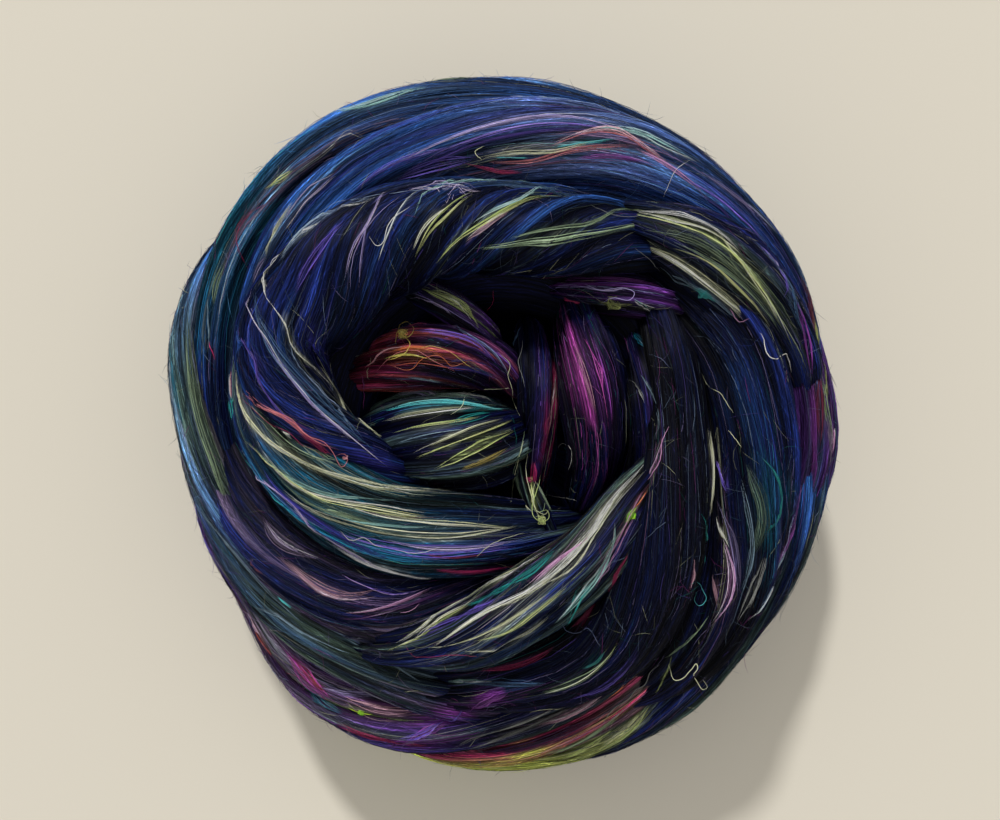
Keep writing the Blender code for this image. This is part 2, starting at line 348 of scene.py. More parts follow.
def course_rows(sections):
    """A course's middle line, its outward directions, its two half sizes and its length."""
    rows = np.array(sections, float)
    rows, length = evenly_along(rows[:, 0], rows, round_the_axis)
    points = round_the_axis(rows)
    ring = rows[:, :3].copy()
    ring[:, 1:3] = RING_RADIUS, RING_HEIGHT
    return points, points - round_the_axis(ring), rows[:, 3:5], length


def fan_of_lanes():
    """Section angles all round, and the lane of each: the angle's own slowness, added up and scaled.

    A fibre turns at a rate of 1 less FAN_STILLNESS times a bell round FAN_STILL_AT. Its lane is the
    sum of one over that rate from nought to its angle, as a share of the sum all the way round.
    """
    angles = np.linspace(0, FULL_TURN, 721)
    from_still = np.angle(np.exp(1j * (angles - FAN_STILL_AT)))
    rate = 1 - FAN_STILLNESS * np.exp(-(from_still / FAN_STILL_BREADTH) ** 2)
    lanes = np.concatenate(([0.0], np.cumsum(0.5 * (1 / rate[1:] + 1 / rate[:-1]))))
    return angles, lanes * FULL_TURN / lanes[-1]


FAN_ANGLES, FAN_LANES = fan_of_lanes()


def wind(name, course, streaks, route, under, seed):
    """A course as a strand. Its rows hold the middle, across, outward, half sizes and turn of fibres.

    Outward is the direction away from the ring, made square to the route, and across is square to
    both. Over END_ROUND at each end the half sizes grow as the height of a quarter circle does. The
    waves, lumps and bands of the strand's skin get their own phases from the seed.
    """
    points, outward, halves, length = route
    from_end = np.minimum(np.linspace(0, length, len(points)), np.linspace(length, 0, len(points)))
    inside = np.minimum(1, from_end / END_ROUND)
    halves = halves * np.sqrt(np.clip(1 - (1 - inside) ** 2, 0.001, 1))[:, None]
    along = unit(np.gradient(points, axis=0))
    outward = unit(outward - along * np.sum(outward * along, axis=1, keepdims=True))
    across = np.cross(along, outward)
    share = np.linspace(0, 1, len(points))
    fanned = not isinstance(course.turn, (int, float))
    knots = np.array(course.turn if fanned else ((0, 0), (1, course.turn)), float)
    turn = smooth(knots[:, 0], np.radians(knots[:, 1:]), share)
    draw = np.random.default_rng(seed)
    waves = draw.uniform(0, FULL_TURN, (len(ROPES), 3))
    lumps = draw.uniform(0, FULL_TURN, (len(LUMPS), 2))
    bands = draw.uniform(0, FULL_TURN, (BAND_SUMS, len(BANDS), 2))
    rows = np.concatenate((points, across, outward, halves, turn), axis=1)
    tints, blend = daylight(course.tints), daylight(course.blend)
    strand = Strand(rows, length, fanned, waves, lumps, bands, tints, blend, under, [])
    strand.laid.extend((streak, lay_out(strand, streak.path)) for streak in streaks.get(name, ()))
    return strand


def daylight(names):
    """Tints, by their names, as the linear shares of light that a shader takes."""
    share = np.array([TINTS[name] for name in names], float) / 255.0
    return np.where(share <= 0.04045, share / 12.92, ((share + 0.055) / 1.055) ** 2.4)


def read_rows(rows, share):
    """The rows at any shares of the strand's length, straight between one row and the next."""
    at = np.clip(share, 0, 1) * (len(rows) - 1)
    low = np.minimum(at.astype(int), len(rows) - 2)
    part = (at - low)[..., None]
    return rows[low] * (1 - part) + rows[low + 1] * part


def relief(strand, share, lane):
    """How far the skin lies below the strand's ellipse: grooves between locks, and ropes of fibres.

    A groove is LOCK_DEPTH times 1 less the size of a cosine that has LOCKS humps in a full turn. Each
    rope wave is a cosine of the lane, whose phase wanders slowly along the strand, and a lump wave
    runs both round and along it.
    """
    depth = SKIN_REST + LOCK_DEPTH * (1 - np.abs(np.cos(0.5 * LOCKS * lane)))
    along = share * strand.length
    for number, (phase, *starts) in zip(ROPES, strand.waves):
        wander = sum(far * np.sin(along / over + start) for (far, over), start in zip(ROPE_WANDERS, starts))
        height = ROPE_HEIGHT * (ROPES[0] / number) ** ROPE_FALL
        depth = depth - height * np.cos(number * lane + phase + wander)
    for number, (phase, start) in zip(LUMPS, strand.lumps):
        swell = np.sin(along / (LUMP_LENGTH + LUMP_LENGTH_MORE * number) + start)
        depth = depth - LUMP_HEIGHT * np.cos(number * lane + phase) * swell
    return depth


def angle_of(strand, share, lane):
    """The section angle of a lane: the lane plus the strand's turn there, and any fan's change."""
    even = lane + read_rows(strand.rows, share)[..., TURN]
    return np.interp(np.mod(even, FULL_TURN), FAN_LANES, FAN_ANGLES) if strand.fanned else even


def lane_of(strand, share, angle):
    """The lane that has this section angle at this share of the strand."""
    even = np.interp(np.mod(angle, FULL_TURN), FAN_ANGLES, FAN_LANES) if strand.fanned else angle
    return even - read_rows(strand.rows, share)[..., TURN]


def on_skin(strand, share, lane, lift=0.0):
    """Points on the strand's skin, raised by lift, and the directions away from it there.

    A point is the middle, plus half the width times the cosine of the section angle across, plus half
    the thickness times its sine outwards, both halves less by the relief and more by the lift.
    """
    share, lane, lift = np.broadcast_arrays(share, lane, lift)
    rows = read_rows(strand.rows, share)
    across, outward = rows[..., 3:6], rows[..., 6:9]
    half_width, half_thick = rows[..., HALF_WIDTH], rows[..., HALF_THICK]
    angle = angle_of(strand, share, lane)
    cosine, sine = np.cos(angle), np.sin(angle)
    rise = lift - relief(strand, share, lane) * np.minimum(1, half_thick / LOCK_FULL_AT)
    away = unit((cosine / half_width)[..., None] * across + (sine / half_thick)[..., None] * outward)
    points = rows[..., 0:3] + ((half_width + rise) * cosine)[..., None] * across
    points = points + ((half_thick + rise) * sine)[..., None] * outward
    points[..., 2] = np.maximum(points[..., 2], TABLE_CLEARANCE)
    return points, away


def in_picture(points):
    """Where points show in the picture: its x and y in pixels."""
    pixel = TABLE_PIXEL * (CAMERA_HEIGHT - points[..., 2]) / CAMERA_HEIGHT
    x = PICTURE_MIDDLE_X + (points[..., 0] - CAMERA_X) / pixel
    y = PICTURE_MIDDLE_Y + (CAMERA_Y - points[..., 1]) / pixel
    return np.stack((x, y), axis=-1)


def lay_out(strand, path):
    """The share and lane at even steps along a line that is given by picture positions.

    Each position goes to the nearest point of the strand's skin that faces the camera. A smooth curve
    joins them by share and lane. It is drawn out at both ends by its own mirror image, turned half
    round, and then each of its points is evened out with LINE_EVENING on each side.
    """
    share = np.linspace(0, 1, max(20, int(strand.length / SEARCH_STEP)))[:, None]
    lane = lane_of(strand, share, SEARCH_ANGLES[None, :])
    points, away = on_skin(strand, share, lane)
    to_camera = unit(np.array((CAMERA_X, CAMERA_Y, CAMERA_HEIGHT)) - points)
    hidden = np.sum(away * to_camera, axis=-1) <= FACING
    shown = in_picture(points)
    share = share + 0 * lane
    found = []
    for spot in path:
        far = np.linalg.norm(shown - spot, axis=-1) + np.where(hidden, np.inf, 0)
        best = np.unravel_index(np.argmin(far), far.shape)
        found.append((share[best], lane[best]))
    found = np.array(found)
    found[:, 1] = np.unwrap(found[:, 1])
    knots = length_along(np.array(path, float))
    line = smooth(knots / knots[-1], found, np.linspace(0, 1, LINE_POINTS))
    before = 2 * line[:1] - line[LINE_EVENING:0:-1]
    after = 2 * line[-1:] - line[-2:-2 - LINE_EVENING:-1]
    return running_mean(np.concatenate((before, line, after)), LINE_EVENING)


def running_mean(line, reach):
    """The mean of each point of a line and reach points on each side, for all that have so many."""
    window = 2 * reach + 1
    return sum(line[step:step + len(line) - 2 * reach] for step in range(window)) / window


def lane_breadth(strand, share, lane):
    """How many millimetres of skin one radian of lane covers, at each share and lane."""
    step = 0.02
    left = on_skin(strand, share, lane - step)[0]
    right = on_skin(strand, share, lane + step)[0]
    return np.linalg.norm(right - left, axis=-1) / (2 * step) + 1e-6


def band(strand, own, share, lane):
    """How much of a band lies at each share and lane, mostly from -2 to 2.

    It is the sum of a few cosines of the lane, whose phases wander along the strand.
    """
    total = 0.0
    for (number, weight), (phase, start) in zip(BANDS, strand.bands[own]):
        wander = BAND_WANDER * np.sin(share * strand.length / BAND_LENGTH + start)
        total = total + weight * np.cos(number * lane + phase + wander)
    return total / BAND_SUM


def paint(strand, share, lane):
    """The colour at each share and lane: the course's tints in turn along it, then its streaks.

    Each blended tint covers the wool where its own band is high. Another band makes the wool lighter
    or darker. Painted shade darkens the grooves of its skin, and skin that faces the axis, where
    little light reaches. A streak covers it by its strength times a bell of the distance across it,
    which narrows to the streak's ends, and a band makes its edges ragged.
    """
    share, lane = np.broadcast_arrays(share, lane)
    colour = read_rows(strand.tints, share)
    for own, tint in enumerate(strand.blend, FIRST_BLEND_BAND):
        cover = BLEND_COVER[0] * band(strand, own, share, lane) - BLEND_COVER[1]
        cover = np.clip(cover, 0, BLEND_COVER[2])[..., None]
        colour = colour * (1 - cover) + tint * cover
    # Painted shade: the grooves of the skin, and skin that faces the axis, are darkened where little light
    # reaches.
    groove = np.clip(relief(strand, share, lane) - SKIN_REST - GROOVE_START, *GROOVE_LIMITS)
    points, away = on_skin(strand, share, lane)
    level = unit(points[..., 0:2] + 0.001)
    inward = np.clip(-np.sum(away[..., 0:2] * level, axis=-1), 0, 1)
    shade = GROOVE_SHADE * groove + HOLLOW_SHADE * inward ** HOLLOW_FALL
    colour = colour * np.exp(BAND_CONTRAST * band(strand, SHADE_BAND, share, lane) - shade)[..., None]
    ragged = np.clip(STREAK_LEVEL + STREAK_RAGGED * band(strand, EDGE_BAND, share, lane), 0, 1)
    for streak, line in strand.laid:
        line = line[np.argsort(line[:, 0])]
        first, last = line[0, 0], line[-1, 0]
        middle = np.interp(share, line[:, 0], line[:, 1])
        breadth = np.interp(share, line[:, 0], lane_breadth(strand, line[:, 0], line[:, 1]))
        off = np.angle(np.exp(1j * (lane - middle))) * breadth
        run = np.clip((share - first) / (last - first + 1e-6), 0, 1)
        full = np.sqrt(np.sin(math.pi * run))
        across = np.abs(off) / (0.5 * streak.width * (STREAK_END + (1 - STREAK_END) * full) + 1e-6)
        part = 1.0 if streak.width >= WOOL_LOCK else strand.under
        cover = (part * streak.strength * full * ragged * np.exp(-across ** 2))[..., None]
        colour = colour * (1 - cover) + daylight((streak.tint,)) * cover
    return colour


def raise_mesh(name, points, quads, triangles, colours, lengthwise=None):
    """A piece from whole arrays: its points in millimetres, its faces, and each point's tint.

    lengthwise holds a pair for each corner of each quad and triangle, where the piece has a UV map:
    millimetres along the fibres and across them.
    """
    mesh = bpy.data.meshes.new(name)
    corners = np.concatenate((quads.ravel(), triangles.ravel()))
    sizes = np.concatenate((np.full(len(quads), 4), np.full(len(triangles), 3)))
    mesh.vertices.add(len(points))
    mesh.vertices.foreach_set("co", (points * MM).astype(np.float32).ravel())
    mesh.loops.add(len(corners))
    mesh.loops.foreach_set("vertex_index", corners.astype(np.int32))
    mesh.polygons.add(len(sizes))
    mesh.polygons.foreach_set("loop_start", (np.cumsum(sizes) - sizes).astype(np.int32))
    mesh.polygons.foreach_set("use_smooth", np.ones(len(sizes), bool))
    tint = mesh.color_attributes.new("tint", "FLOAT_COLOR", "POINT")
    tint.data.foreach_set("color", np.concatenate((colours, np.ones((len(colours), 1))), axis=1).ravel())
    if lengthwise is not None:
        wool_map = mesh.uv_layers.new(name="along_and_across")
        wool_map.data.foreach_set("uv", lengthwise.astype(np.float32).ravel())
    mesh.update(calc_edges=True)
    mesh.validate()
    piece = bpy.data.objects.new(name, mesh)
    bpy.context.scene.collection.objects.link(piece)
    return piece


def mean_radius(strand):
    """The mean of a strand's half sizes."""
    return 0.5 * (strand.rows[:, HALF_WIDTH].mean() + strand.rows[:, HALF_THICK].mean())


def body_of_strands(name, strands, row_step, lanes):
    """The strands' own skins as closed shells in one piece.

    A shell has rows of points row_step apart, a point of each for each lane, and fans of triangles
    that close it round a point at each end.
    """
    all_points, all_colours, all_quads, all_fans, quad_maps, fan_maps = [], [], [], [], [], []
    first = 0
    for strand in strands:
        rows = max(12, int(strand.length / row_step))
        share = np.linspace(0, 1, rows)[:, None]
        lane = np.linspace(0, FULL_TURN, lanes, endpoint=False)[None, :]
        skin = on_skin(strand, share, lane)[0].reshape(-1, 3)
        ends = strand.rows[[0, -1], 0:3]
        colours = paint(strand, share, lane).reshape(-1, 3)
        row, side = np.meshgrid(np.arange(rows - 1), np.arange(lanes), indexing="ij")
        row, side = row.ravel(), side.ravel()
        beside = (side + 1) % lanes
        here = first + row * lanes
        quads = np.stack((here + side, here + lanes + side, here + lanes + beside, here + beside), axis=1)
        start_ring, end_ring, start_point = first, first + (rows - 1) * lanes, first + rows * lanes
        side, beside = np.arange(lanes), (np.arange(lanes) + 1) % lanes
        start_fan = np.stack((start_ring + side, start_ring + beside, np.full(lanes, start_point)), axis=1)
        end_fan = np.stack((end_ring + beside, end_ring + side, np.full(lanes, start_point + 1)), axis=1)
        run = strand.length / (rows - 1)
        girth = FULL_TURN * mean_radius(strand) / lanes
        corner_rows = row[:, None] + np.array((0, 1, 1, 0))
        corner_sides = np.tile(np.arange(lanes), rows - 1)[:, None] + np.array((0, 0, 1, 1))
        quad_maps.append(np.stack((corner_rows * run, corner_sides * girth), axis=-1).reshape(-1, 2))
        fan_maps.append(np.zeros((2 * lanes * 3, 2)))
        all_points += [skin, ends]
        all_colours += [colours, colours[[0, -1]]]
        all_quads.append(quads)
        all_fans += [start_fan, end_fan]
        first += len(skin) + 2
    maps = np.concatenate((np.concatenate(quad_maps), np.concatenate(fan_maps)))
    return raise_mesh(name, np.concatenate(all_points), np.concatenate(all_quads), np.concatenate(all_fans),
                      np.concatenate(all_colours), maps)


# A grain of the wool, which is a noise: its waves in a millimetre along the fibres and across them, its
# slant to them in radians, the two levels between which it goes from its dark shade to its light one,
# and how high it stands. The first three are locks, fibres and the finest fibres, and the last two are
# hairs that cross them, which stand no higher.
Grain = namedtuple("Grain", "along across slant low high dark light height", defaults=(0.0,))
WOOL_GRAINS = (
    Grain(0.02, 0.7, 0.0, 0.32, 0.68, 0.6, 1.4, 0.5),
    Grain(0.04, 1.9, 0.0, 0.4, 0.7, 0.45, 2.2, 0.2),
    Grain(0.08, 4.0, 0.0, 0.4, 0.7, 0.5, 2.3, 0.08),
    Grain(0.1, 2.2, 0.3, 0.55, 0.75, 0.9, 2.2),
    Grain(0.12, 2.6, -0.4, 0.55, 0.75, 0.9, 2.2),
)
GRAIN_DETAIL = 2.0
GRAIN_DISTORTION = 0.25
BUMP_STRENGTH = 0.85
WOOL_ROUGHNESS = 0.48
WOOL_SPECULAR = 0.06
WOOL_STREAKING = 0.75
ACROSS_THE_FIBRES = 0.25


def wool_finish():
    """Carded wool: the piece's tint in fine streaks along the fibres, which shine across their run.

    Each grain multiplies the tint by its shade, one after the other, and those that stand high raise
    the bumps too.
    """
    material = bpy.data.materials.new("carded_wool")
    material.use_nodes = True
    tree = material.node_tree
    shader = tree.nodes["Principled BSDF"]
    shader.inputs["Roughness"].default_value = WOOL_ROUGHNESS
    shader.inputs["Specular IOR Level"].default_value = WOOL_SPECULAR
    shader.inputs["Anisotropic"].default_value = WOOL_STREAKING
    shader.inputs["Anisotropic Rotation"].default_value = ACROSS_THE_FIBRES
    tint = tree.nodes.new("ShaderNodeAttribute")
    tint.attribute_name = "tint"
    place = tree.nodes.new("ShaderNodeUVMap")
    place.uv_map = "along_and_across"
    lie = tree.nodes.new("ShaderNodeTangent")
    lie.direction_type = "UV_MAP"
    lie.uv_map = "along_and_across"
    tree.links.new(lie.outputs["Tangent"], shader.inputs["Tangent"])
    colour = tint.outputs["Color"]
    below = None
    for grain in WOOL_GRAINS:
        turned = tree.nodes.new("ShaderNodeMapping")
        turned.inputs["Rotation"].default_value = (0.0, 0.0, grain.slant)
        stretch = tree.nodes.new("ShaderNodeMapping")
        stretch.inputs["Scale"].default_value = (grain.along, grain.across, 1.0)
        fibres = tree.nodes.new("ShaderNodeTexNoise")
        fibres.inputs["Scale"].default_value = 1.0
        fibres.inputs["Detail"].default_value = GRAIN_DETAIL
        fibres.inputs["Distortion"].default_value = GRAIN_DISTORTION
        shade = tree.nodes.new("ShaderNodeMapRange")
        shade.inputs["From Min"].default_value = grain.low
        shade.inputs["From Max"].default_value = grain.high
        shade.inputs["To Min"].default_value = grain.dark
        shade.inputs["To Max"].default_value = grain.light
        deepen = tree.nodes.new("ShaderNodeVectorMath")
        deepen.operation = "SCALE"
        tree.links.new(place.outputs["UV"], turned.inputs["Vector"])
        tree.links.new(turned.outputs["Vector"], stretch.inputs["Vector"])
        tree.links.new(stretch.outputs["Vector"], fibres.inputs["Vector"])
        tree.links.new(fibres.outputs["Fac"], shade.inputs["Value"])
        tree.links.new(colour, deepen.inputs[0])
        tree.links.new(shade.outputs["Result"], deepen.inputs["Scale"])
        colour = deepen.outputs["Vector"]
        if grain.height:
            bump = tree.nodes.new("ShaderNodeBump")
            bump.inputs["Strength"].default_value = BUMP_STRENGTH
            bump.inputs["Distance"].default_value = grain.height * MM
            tree.links.new(fibres.outputs["Fac"], bump.inputs["Height"])
            if below is not None:
                tree.links.new(below, bump.inputs["Normal"])
            below = bump.outputs["Normal"]
    tree.links.new(colour, shader.inputs["Base Color"])
    tree.links.new(below, shader.inputs["Normal"])
    return material


CARDED_WOOL = wool_finish()


def add_body(name, strands, row_step, lanes):
    """The strands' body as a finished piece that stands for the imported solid."""
    piece = body_of_strands(name, strands, row_step, lanes)
    piece.data.materials.append(CARDED_WOOL)
    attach(piece, "root")
    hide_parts("roving")
    return piece


def wind_all(courses, streaks, route, under, first_seed):
    """The courses of one table as strands, each with the next seed."""
    return [wind(name, course, streaks, route(course.sections), under, first_seed + number)
            for number, (name, course) in enumerate(courses.items())]


low_strands = wind_all(LOW_COURSES, {}, course_rows, under=0.5, first_seed=100)
low_turns = add_body("low_turns", low_strands, row_step=5.0, lanes=44)


# -------------------------------------------------------------------------------- the outer courses
# Six courses stand on edge round the outside, each a little higher than the one it crosses. They are
# the same strand, whose blend runs from plain navy to bands of magenta, crimson and lime.

OUTER_COURSES = {
    "navy_course": Course(-40, ("plum", "plum", "plum", "navy", "navy", "navy", "navy", "deep_teal",
                                "deep_navy", "deep_navy"), ("steel", "deep_navy"), (
        Section(-30, 75, 38, 8, 6),
        Section(-8, 81, 42, 15, 9),
        Section(20, 81, 45, 18, 9),
        Section(45, 82.3, 46, 18, 10),
        Section(72, 84.5, 45, 18, 10),
        Section(95, 86, 44, 18, 10),
        Section(120, 87, 43, 18, 10),
        Section(145, 83, 43, 17, 10),
        Section(168, 76, 43, 14, 9),
        Section(195, 69, 43, 9, 7),
    )),
    "grey_course": Course(120, ("deep_navy", "navy", "moss", "deep_navy", "moss", "ink", "ink"),
                         ("mauve", "deep_navy", "steel"), (
        Section(126, 80, 24, 8, 6),
        Section(144, 85, 29, 14, 9),
        Section(160, 85, 35, 17, 9),
        Section(177, 79.3, 40, 17, 9),
        Section(194, 75.8, 44, 15, 9),
        Section(212, 72.5, 48, 13, 9),
        Section(235, 69, 51, 12, 9),
        Section(260, 68, 50, 10, 9),
        Section(286, 70, 43, 6, 6),
    )),
    "striped_course": Course(100, ("navy", "plum", "mauve", "plum", "ink", "ink", "deep_navy"),
                            ("purple", "moss", "deep_navy"), (
        Section(178, 76, 18, 9, 6),
        Section(196, 77.5, 25, 14, 8),
        Section(214, 75.8, 31, 15, 9),
        Section(232, 81.5, 35, 15, 10),
        Section(251, 80, 40, 14, 10),
        Section(271, 75, 44, 12, 9),
        Section(292, 71, 46, 10, 8),
        Section(316, 68, 44, 6, 5),
    )),
    "crimson_course": Course(0, ("plum", "wine", "wine", "moss", "navy"), ("mauve", "crimson"), (
        Section(238, 79, 22, 9, 6),
        Section(255, 83, 29, 13, 8),
        Section(273, 81, 35, 14, 9),
        Section(290, 77, 41, 13, 9),
        Section(308, 73, 44, 11, 8),
        Section(338, 68, 46, 6, 5),
    )),
    "lime_course": Course(0, ("olive", "citron", "olive", "deep_navy", "ink"), ("moss", "olive"), (
        Section(236, 82, 16, 8, 6),
        Section(253, 84.3, 22, 12, 8),
        Section(271, 85, 28, 13, 9),
        Section(288, 84.5, 34, 12, 8),
        Section(304, 79, 38, 10, 7),
        Section(324, 73, 40, 6, 5),
    )),
    "right_course": Course(100, ("deep_navy", "ink", "deep_navy", "deep_navy", "navy", "navy"),
                          ("deep_navy", "moss"), (
        Section(264, 80, 20, 9, 6),
        Section(284, 84.5, 26, 14, 8),
        Section(302, 82.3, 32, 16, 9),
        Section(320, 80.4, 37, 16, 9),
        Section(338, 81, 40, 15, 9),
        Section(357, 80.5, 43, 14, 9),
        Section(380, 79, 44, 8, 6),
    )),
}

OUTER_STREAKS = {
    "navy_course": (
        Streak("pale_teal", 3, ((330, 112), (360, 106), (430, 86)), 0.4),
        Streak("sage", 3, ((430, 82), (455, 79), (480, 80)), 0.4),
        Streak("mauve", 5, ((420, 118), (370, 130), (330, 150), (290, 175), (265, 200), (240, 230),
                            (225, 265)), 0.6),
        Streak("grey", 1.4, ((365, 140), (350, 132), (330, 148), (290, 178)), 0.5),
        Streak("lime", 2.6, ((268, 188), (278, 180), (290, 172)), 0.6),
        Streak("crimson", 2.2, ((262, 205), (240, 226), (236, 245), (245, 262)), 0.5),
        Streak("sage", 3, ((225, 265), (218, 280), (214, 300)), 0.5),
        Streak("deep_teal", 4, ((290, 195), (270, 215), (255, 235)), 0.6),
        Streak("haze", 3, ((208, 300), (204, 325), (205, 350)), 0.5),
        Streak("crimson", 1.6, ((209, 342), (211, 350), (214, 360)), 0.5),
        Streak("purple", 2, ((811, 380), (813, 400), (814, 430), (814, 465), (812, 490)), 0.9),
        Streak("wine", 3, ((818, 372), (820, 400), (820, 440)), 0.7),
        Streak("olive", 2, ((823, 366), (825, 390), (826, 415)), 0.5),
        Streak("mauve", 2.4, ((827, 415), (829, 440), (830, 465)), 0.7),
        Streak("sage", 3, ((822, 380), (828, 420), (830, 450)), 0.4),
        Streak("pink", 1.4, ((833, 430), (834, 455)), 0.5),
    ),
    "grey_course": (
        Streak("deep_teal", 4, ((172, 340), (173, 360), (176, 390), (182, 420)), 0.6),
        Streak("sage", 5, ((188, 320), (190, 345), (195, 400), (215, 460), (235, 520)), 0.25),
        Streak("haze", 2.4, ((200, 510), (225, 540), (250, 570), (300, 620)), 0.35),
        Streak("deep_teal", 3, ((210, 530), (222, 545), (235, 560)), 0.4),
        Streak("plum", 4, ((225, 575), (236, 592), (250, 610)), 0.7),
        Streak("haze", 1.6, ((245, 600), (270, 612), (295, 630), (340, 650)), 0.45),
        Streak("haze", 2.4, ((350, 640), (380, 655), (400, 668), (415, 678)), 0.5),
        Streak("haze", 1.4, ((400, 668), (420, 673), (440, 678)), 0.3),
        Streak("ink", 6, ((330, 655), (380, 680), (430, 696)), 0.8),
        Streak("purple", 11, ((420, 730), (440, 722), (460, 713), (486, 703)), 1.0),
        Streak("violet", 3, ((430, 724), (446, 717), (464, 708)), 0.5),
    ),
    "striped_course": (
        Streak("rose", 3, ((250, 612), (256, 626), (264, 640)), 0.6),
        Streak("rust", 2, ((258, 632), (267, 646), (278, 660)), 0.5),
        Streak("magenta", 3, ((283, 648), (298, 665), (312, 684), (330, 700)), 0.5),
        Streak("crimson", 2, ((290, 655), (304, 672), (322, 692)), 0.6),
        Streak("rust", 1.6, ((300, 668), (312, 681), (326, 692)), 0.6),
        Streak("deep_teal", 4, ((305, 685), (320, 700), (340, 712)), 0.6),
        Streak("bright_lime", 1.6, ((350, 708), (360, 712), (371, 714)), 0.7),
        Streak("lilac", 3, ((330, 690), (360, 694), (400, 694)), 0.4),
        Streak("rose", 4, ((350, 700), (380, 712), (410, 712)), 0.4),
        Streak("purple", 14, ((392, 744), (410, 738), (430, 730), (450, 720), (470, 711)), 1.0),
        Streak("purple", 4, ((394, 745), (416, 738), (446, 724)), 0.9),
        Streak("violet", 4, ((402, 738), (422, 731), (444, 720)), 0.5),
        Streak("ink", 7, ((440, 752), (470, 746), (500, 734), (530, 721)), 0.95),
        Streak("crimson", 3, ((340, 725), (380, 738), (420, 745)), 0.5),
        Streak("grey", 1.6, ((460, 745), (500, 731), (530, 719), (560, 706)), 0.6),
        Streak("grey", 1.4, ((470, 748), (505, 737), (540, 722), (570, 708)), 0.5),
        Streak("rose", 2, ((540, 722), (575, 710), (600, 696)), 0.5),
    ),
    "crimson_course": (
        Streak("crimson", 7, ((484, 744), (515, 737), (545, 728), (575, 717), (606, 699)), 1.0),
        Streak("plum", 4, ((488, 752), (520, 748), (556, 738), (590, 722)), 0.8),
        Streak("olive", 6, ((520, 757), (555, 748), (590, 732), (620, 706)), 0.7),
        Streak("citron", 9, ((436, 762), (472, 768), (504, 767), (532, 761), (562, 751), (586, 739)), 1.0),
        Streak("citron", 7, ((508, 757), (524, 754), (546, 749)), 0.9),
        Streak("sage", 4, ((545, 752), (570, 746), (600, 728), (620, 712)), 0.7),
        Streak("orange", 1.4, ((610, 696), (618, 690), (628, 681)), 0.5),
    ),
    "lime_course": (
        Streak("citron", 9, ((470, 767), (500, 768), (520, 768), (545, 765)), 0.9),
        Streak("lime", 2.4, ((480, 764), (500, 765), (520, 764)), 0.6),
        Streak("lime", 2, ((560, 758), (590, 745), (612, 730)), 0.7),
        Streak("lime", 2.4, ((645, 710), (625, 730), (602, 746)), 0.9),
        Streak("cream", 1.4, ((640, 712), (622, 730), (604, 742)), 0.8),
        Streak("moss", 4, ((600, 735), (630, 716), (650, 690)), 0.6),
    ),
}

outer_strands = wind_all(OUTER_COURSES, OUTER_STREAKS, course_rows, under=0.75, first_seed=200)
outer_turns = add_body("outer_turns", outer_strands, row_step=2.8, lanes=76)


# ----------------------------------------------------------------------------------- the crown lobes
# The last turns roll over the crown and dive into the hollow one after another. Here the silk shows
# best: cream, lime, violet and teal locks lie in the navy wool, which fans over the first lobe.

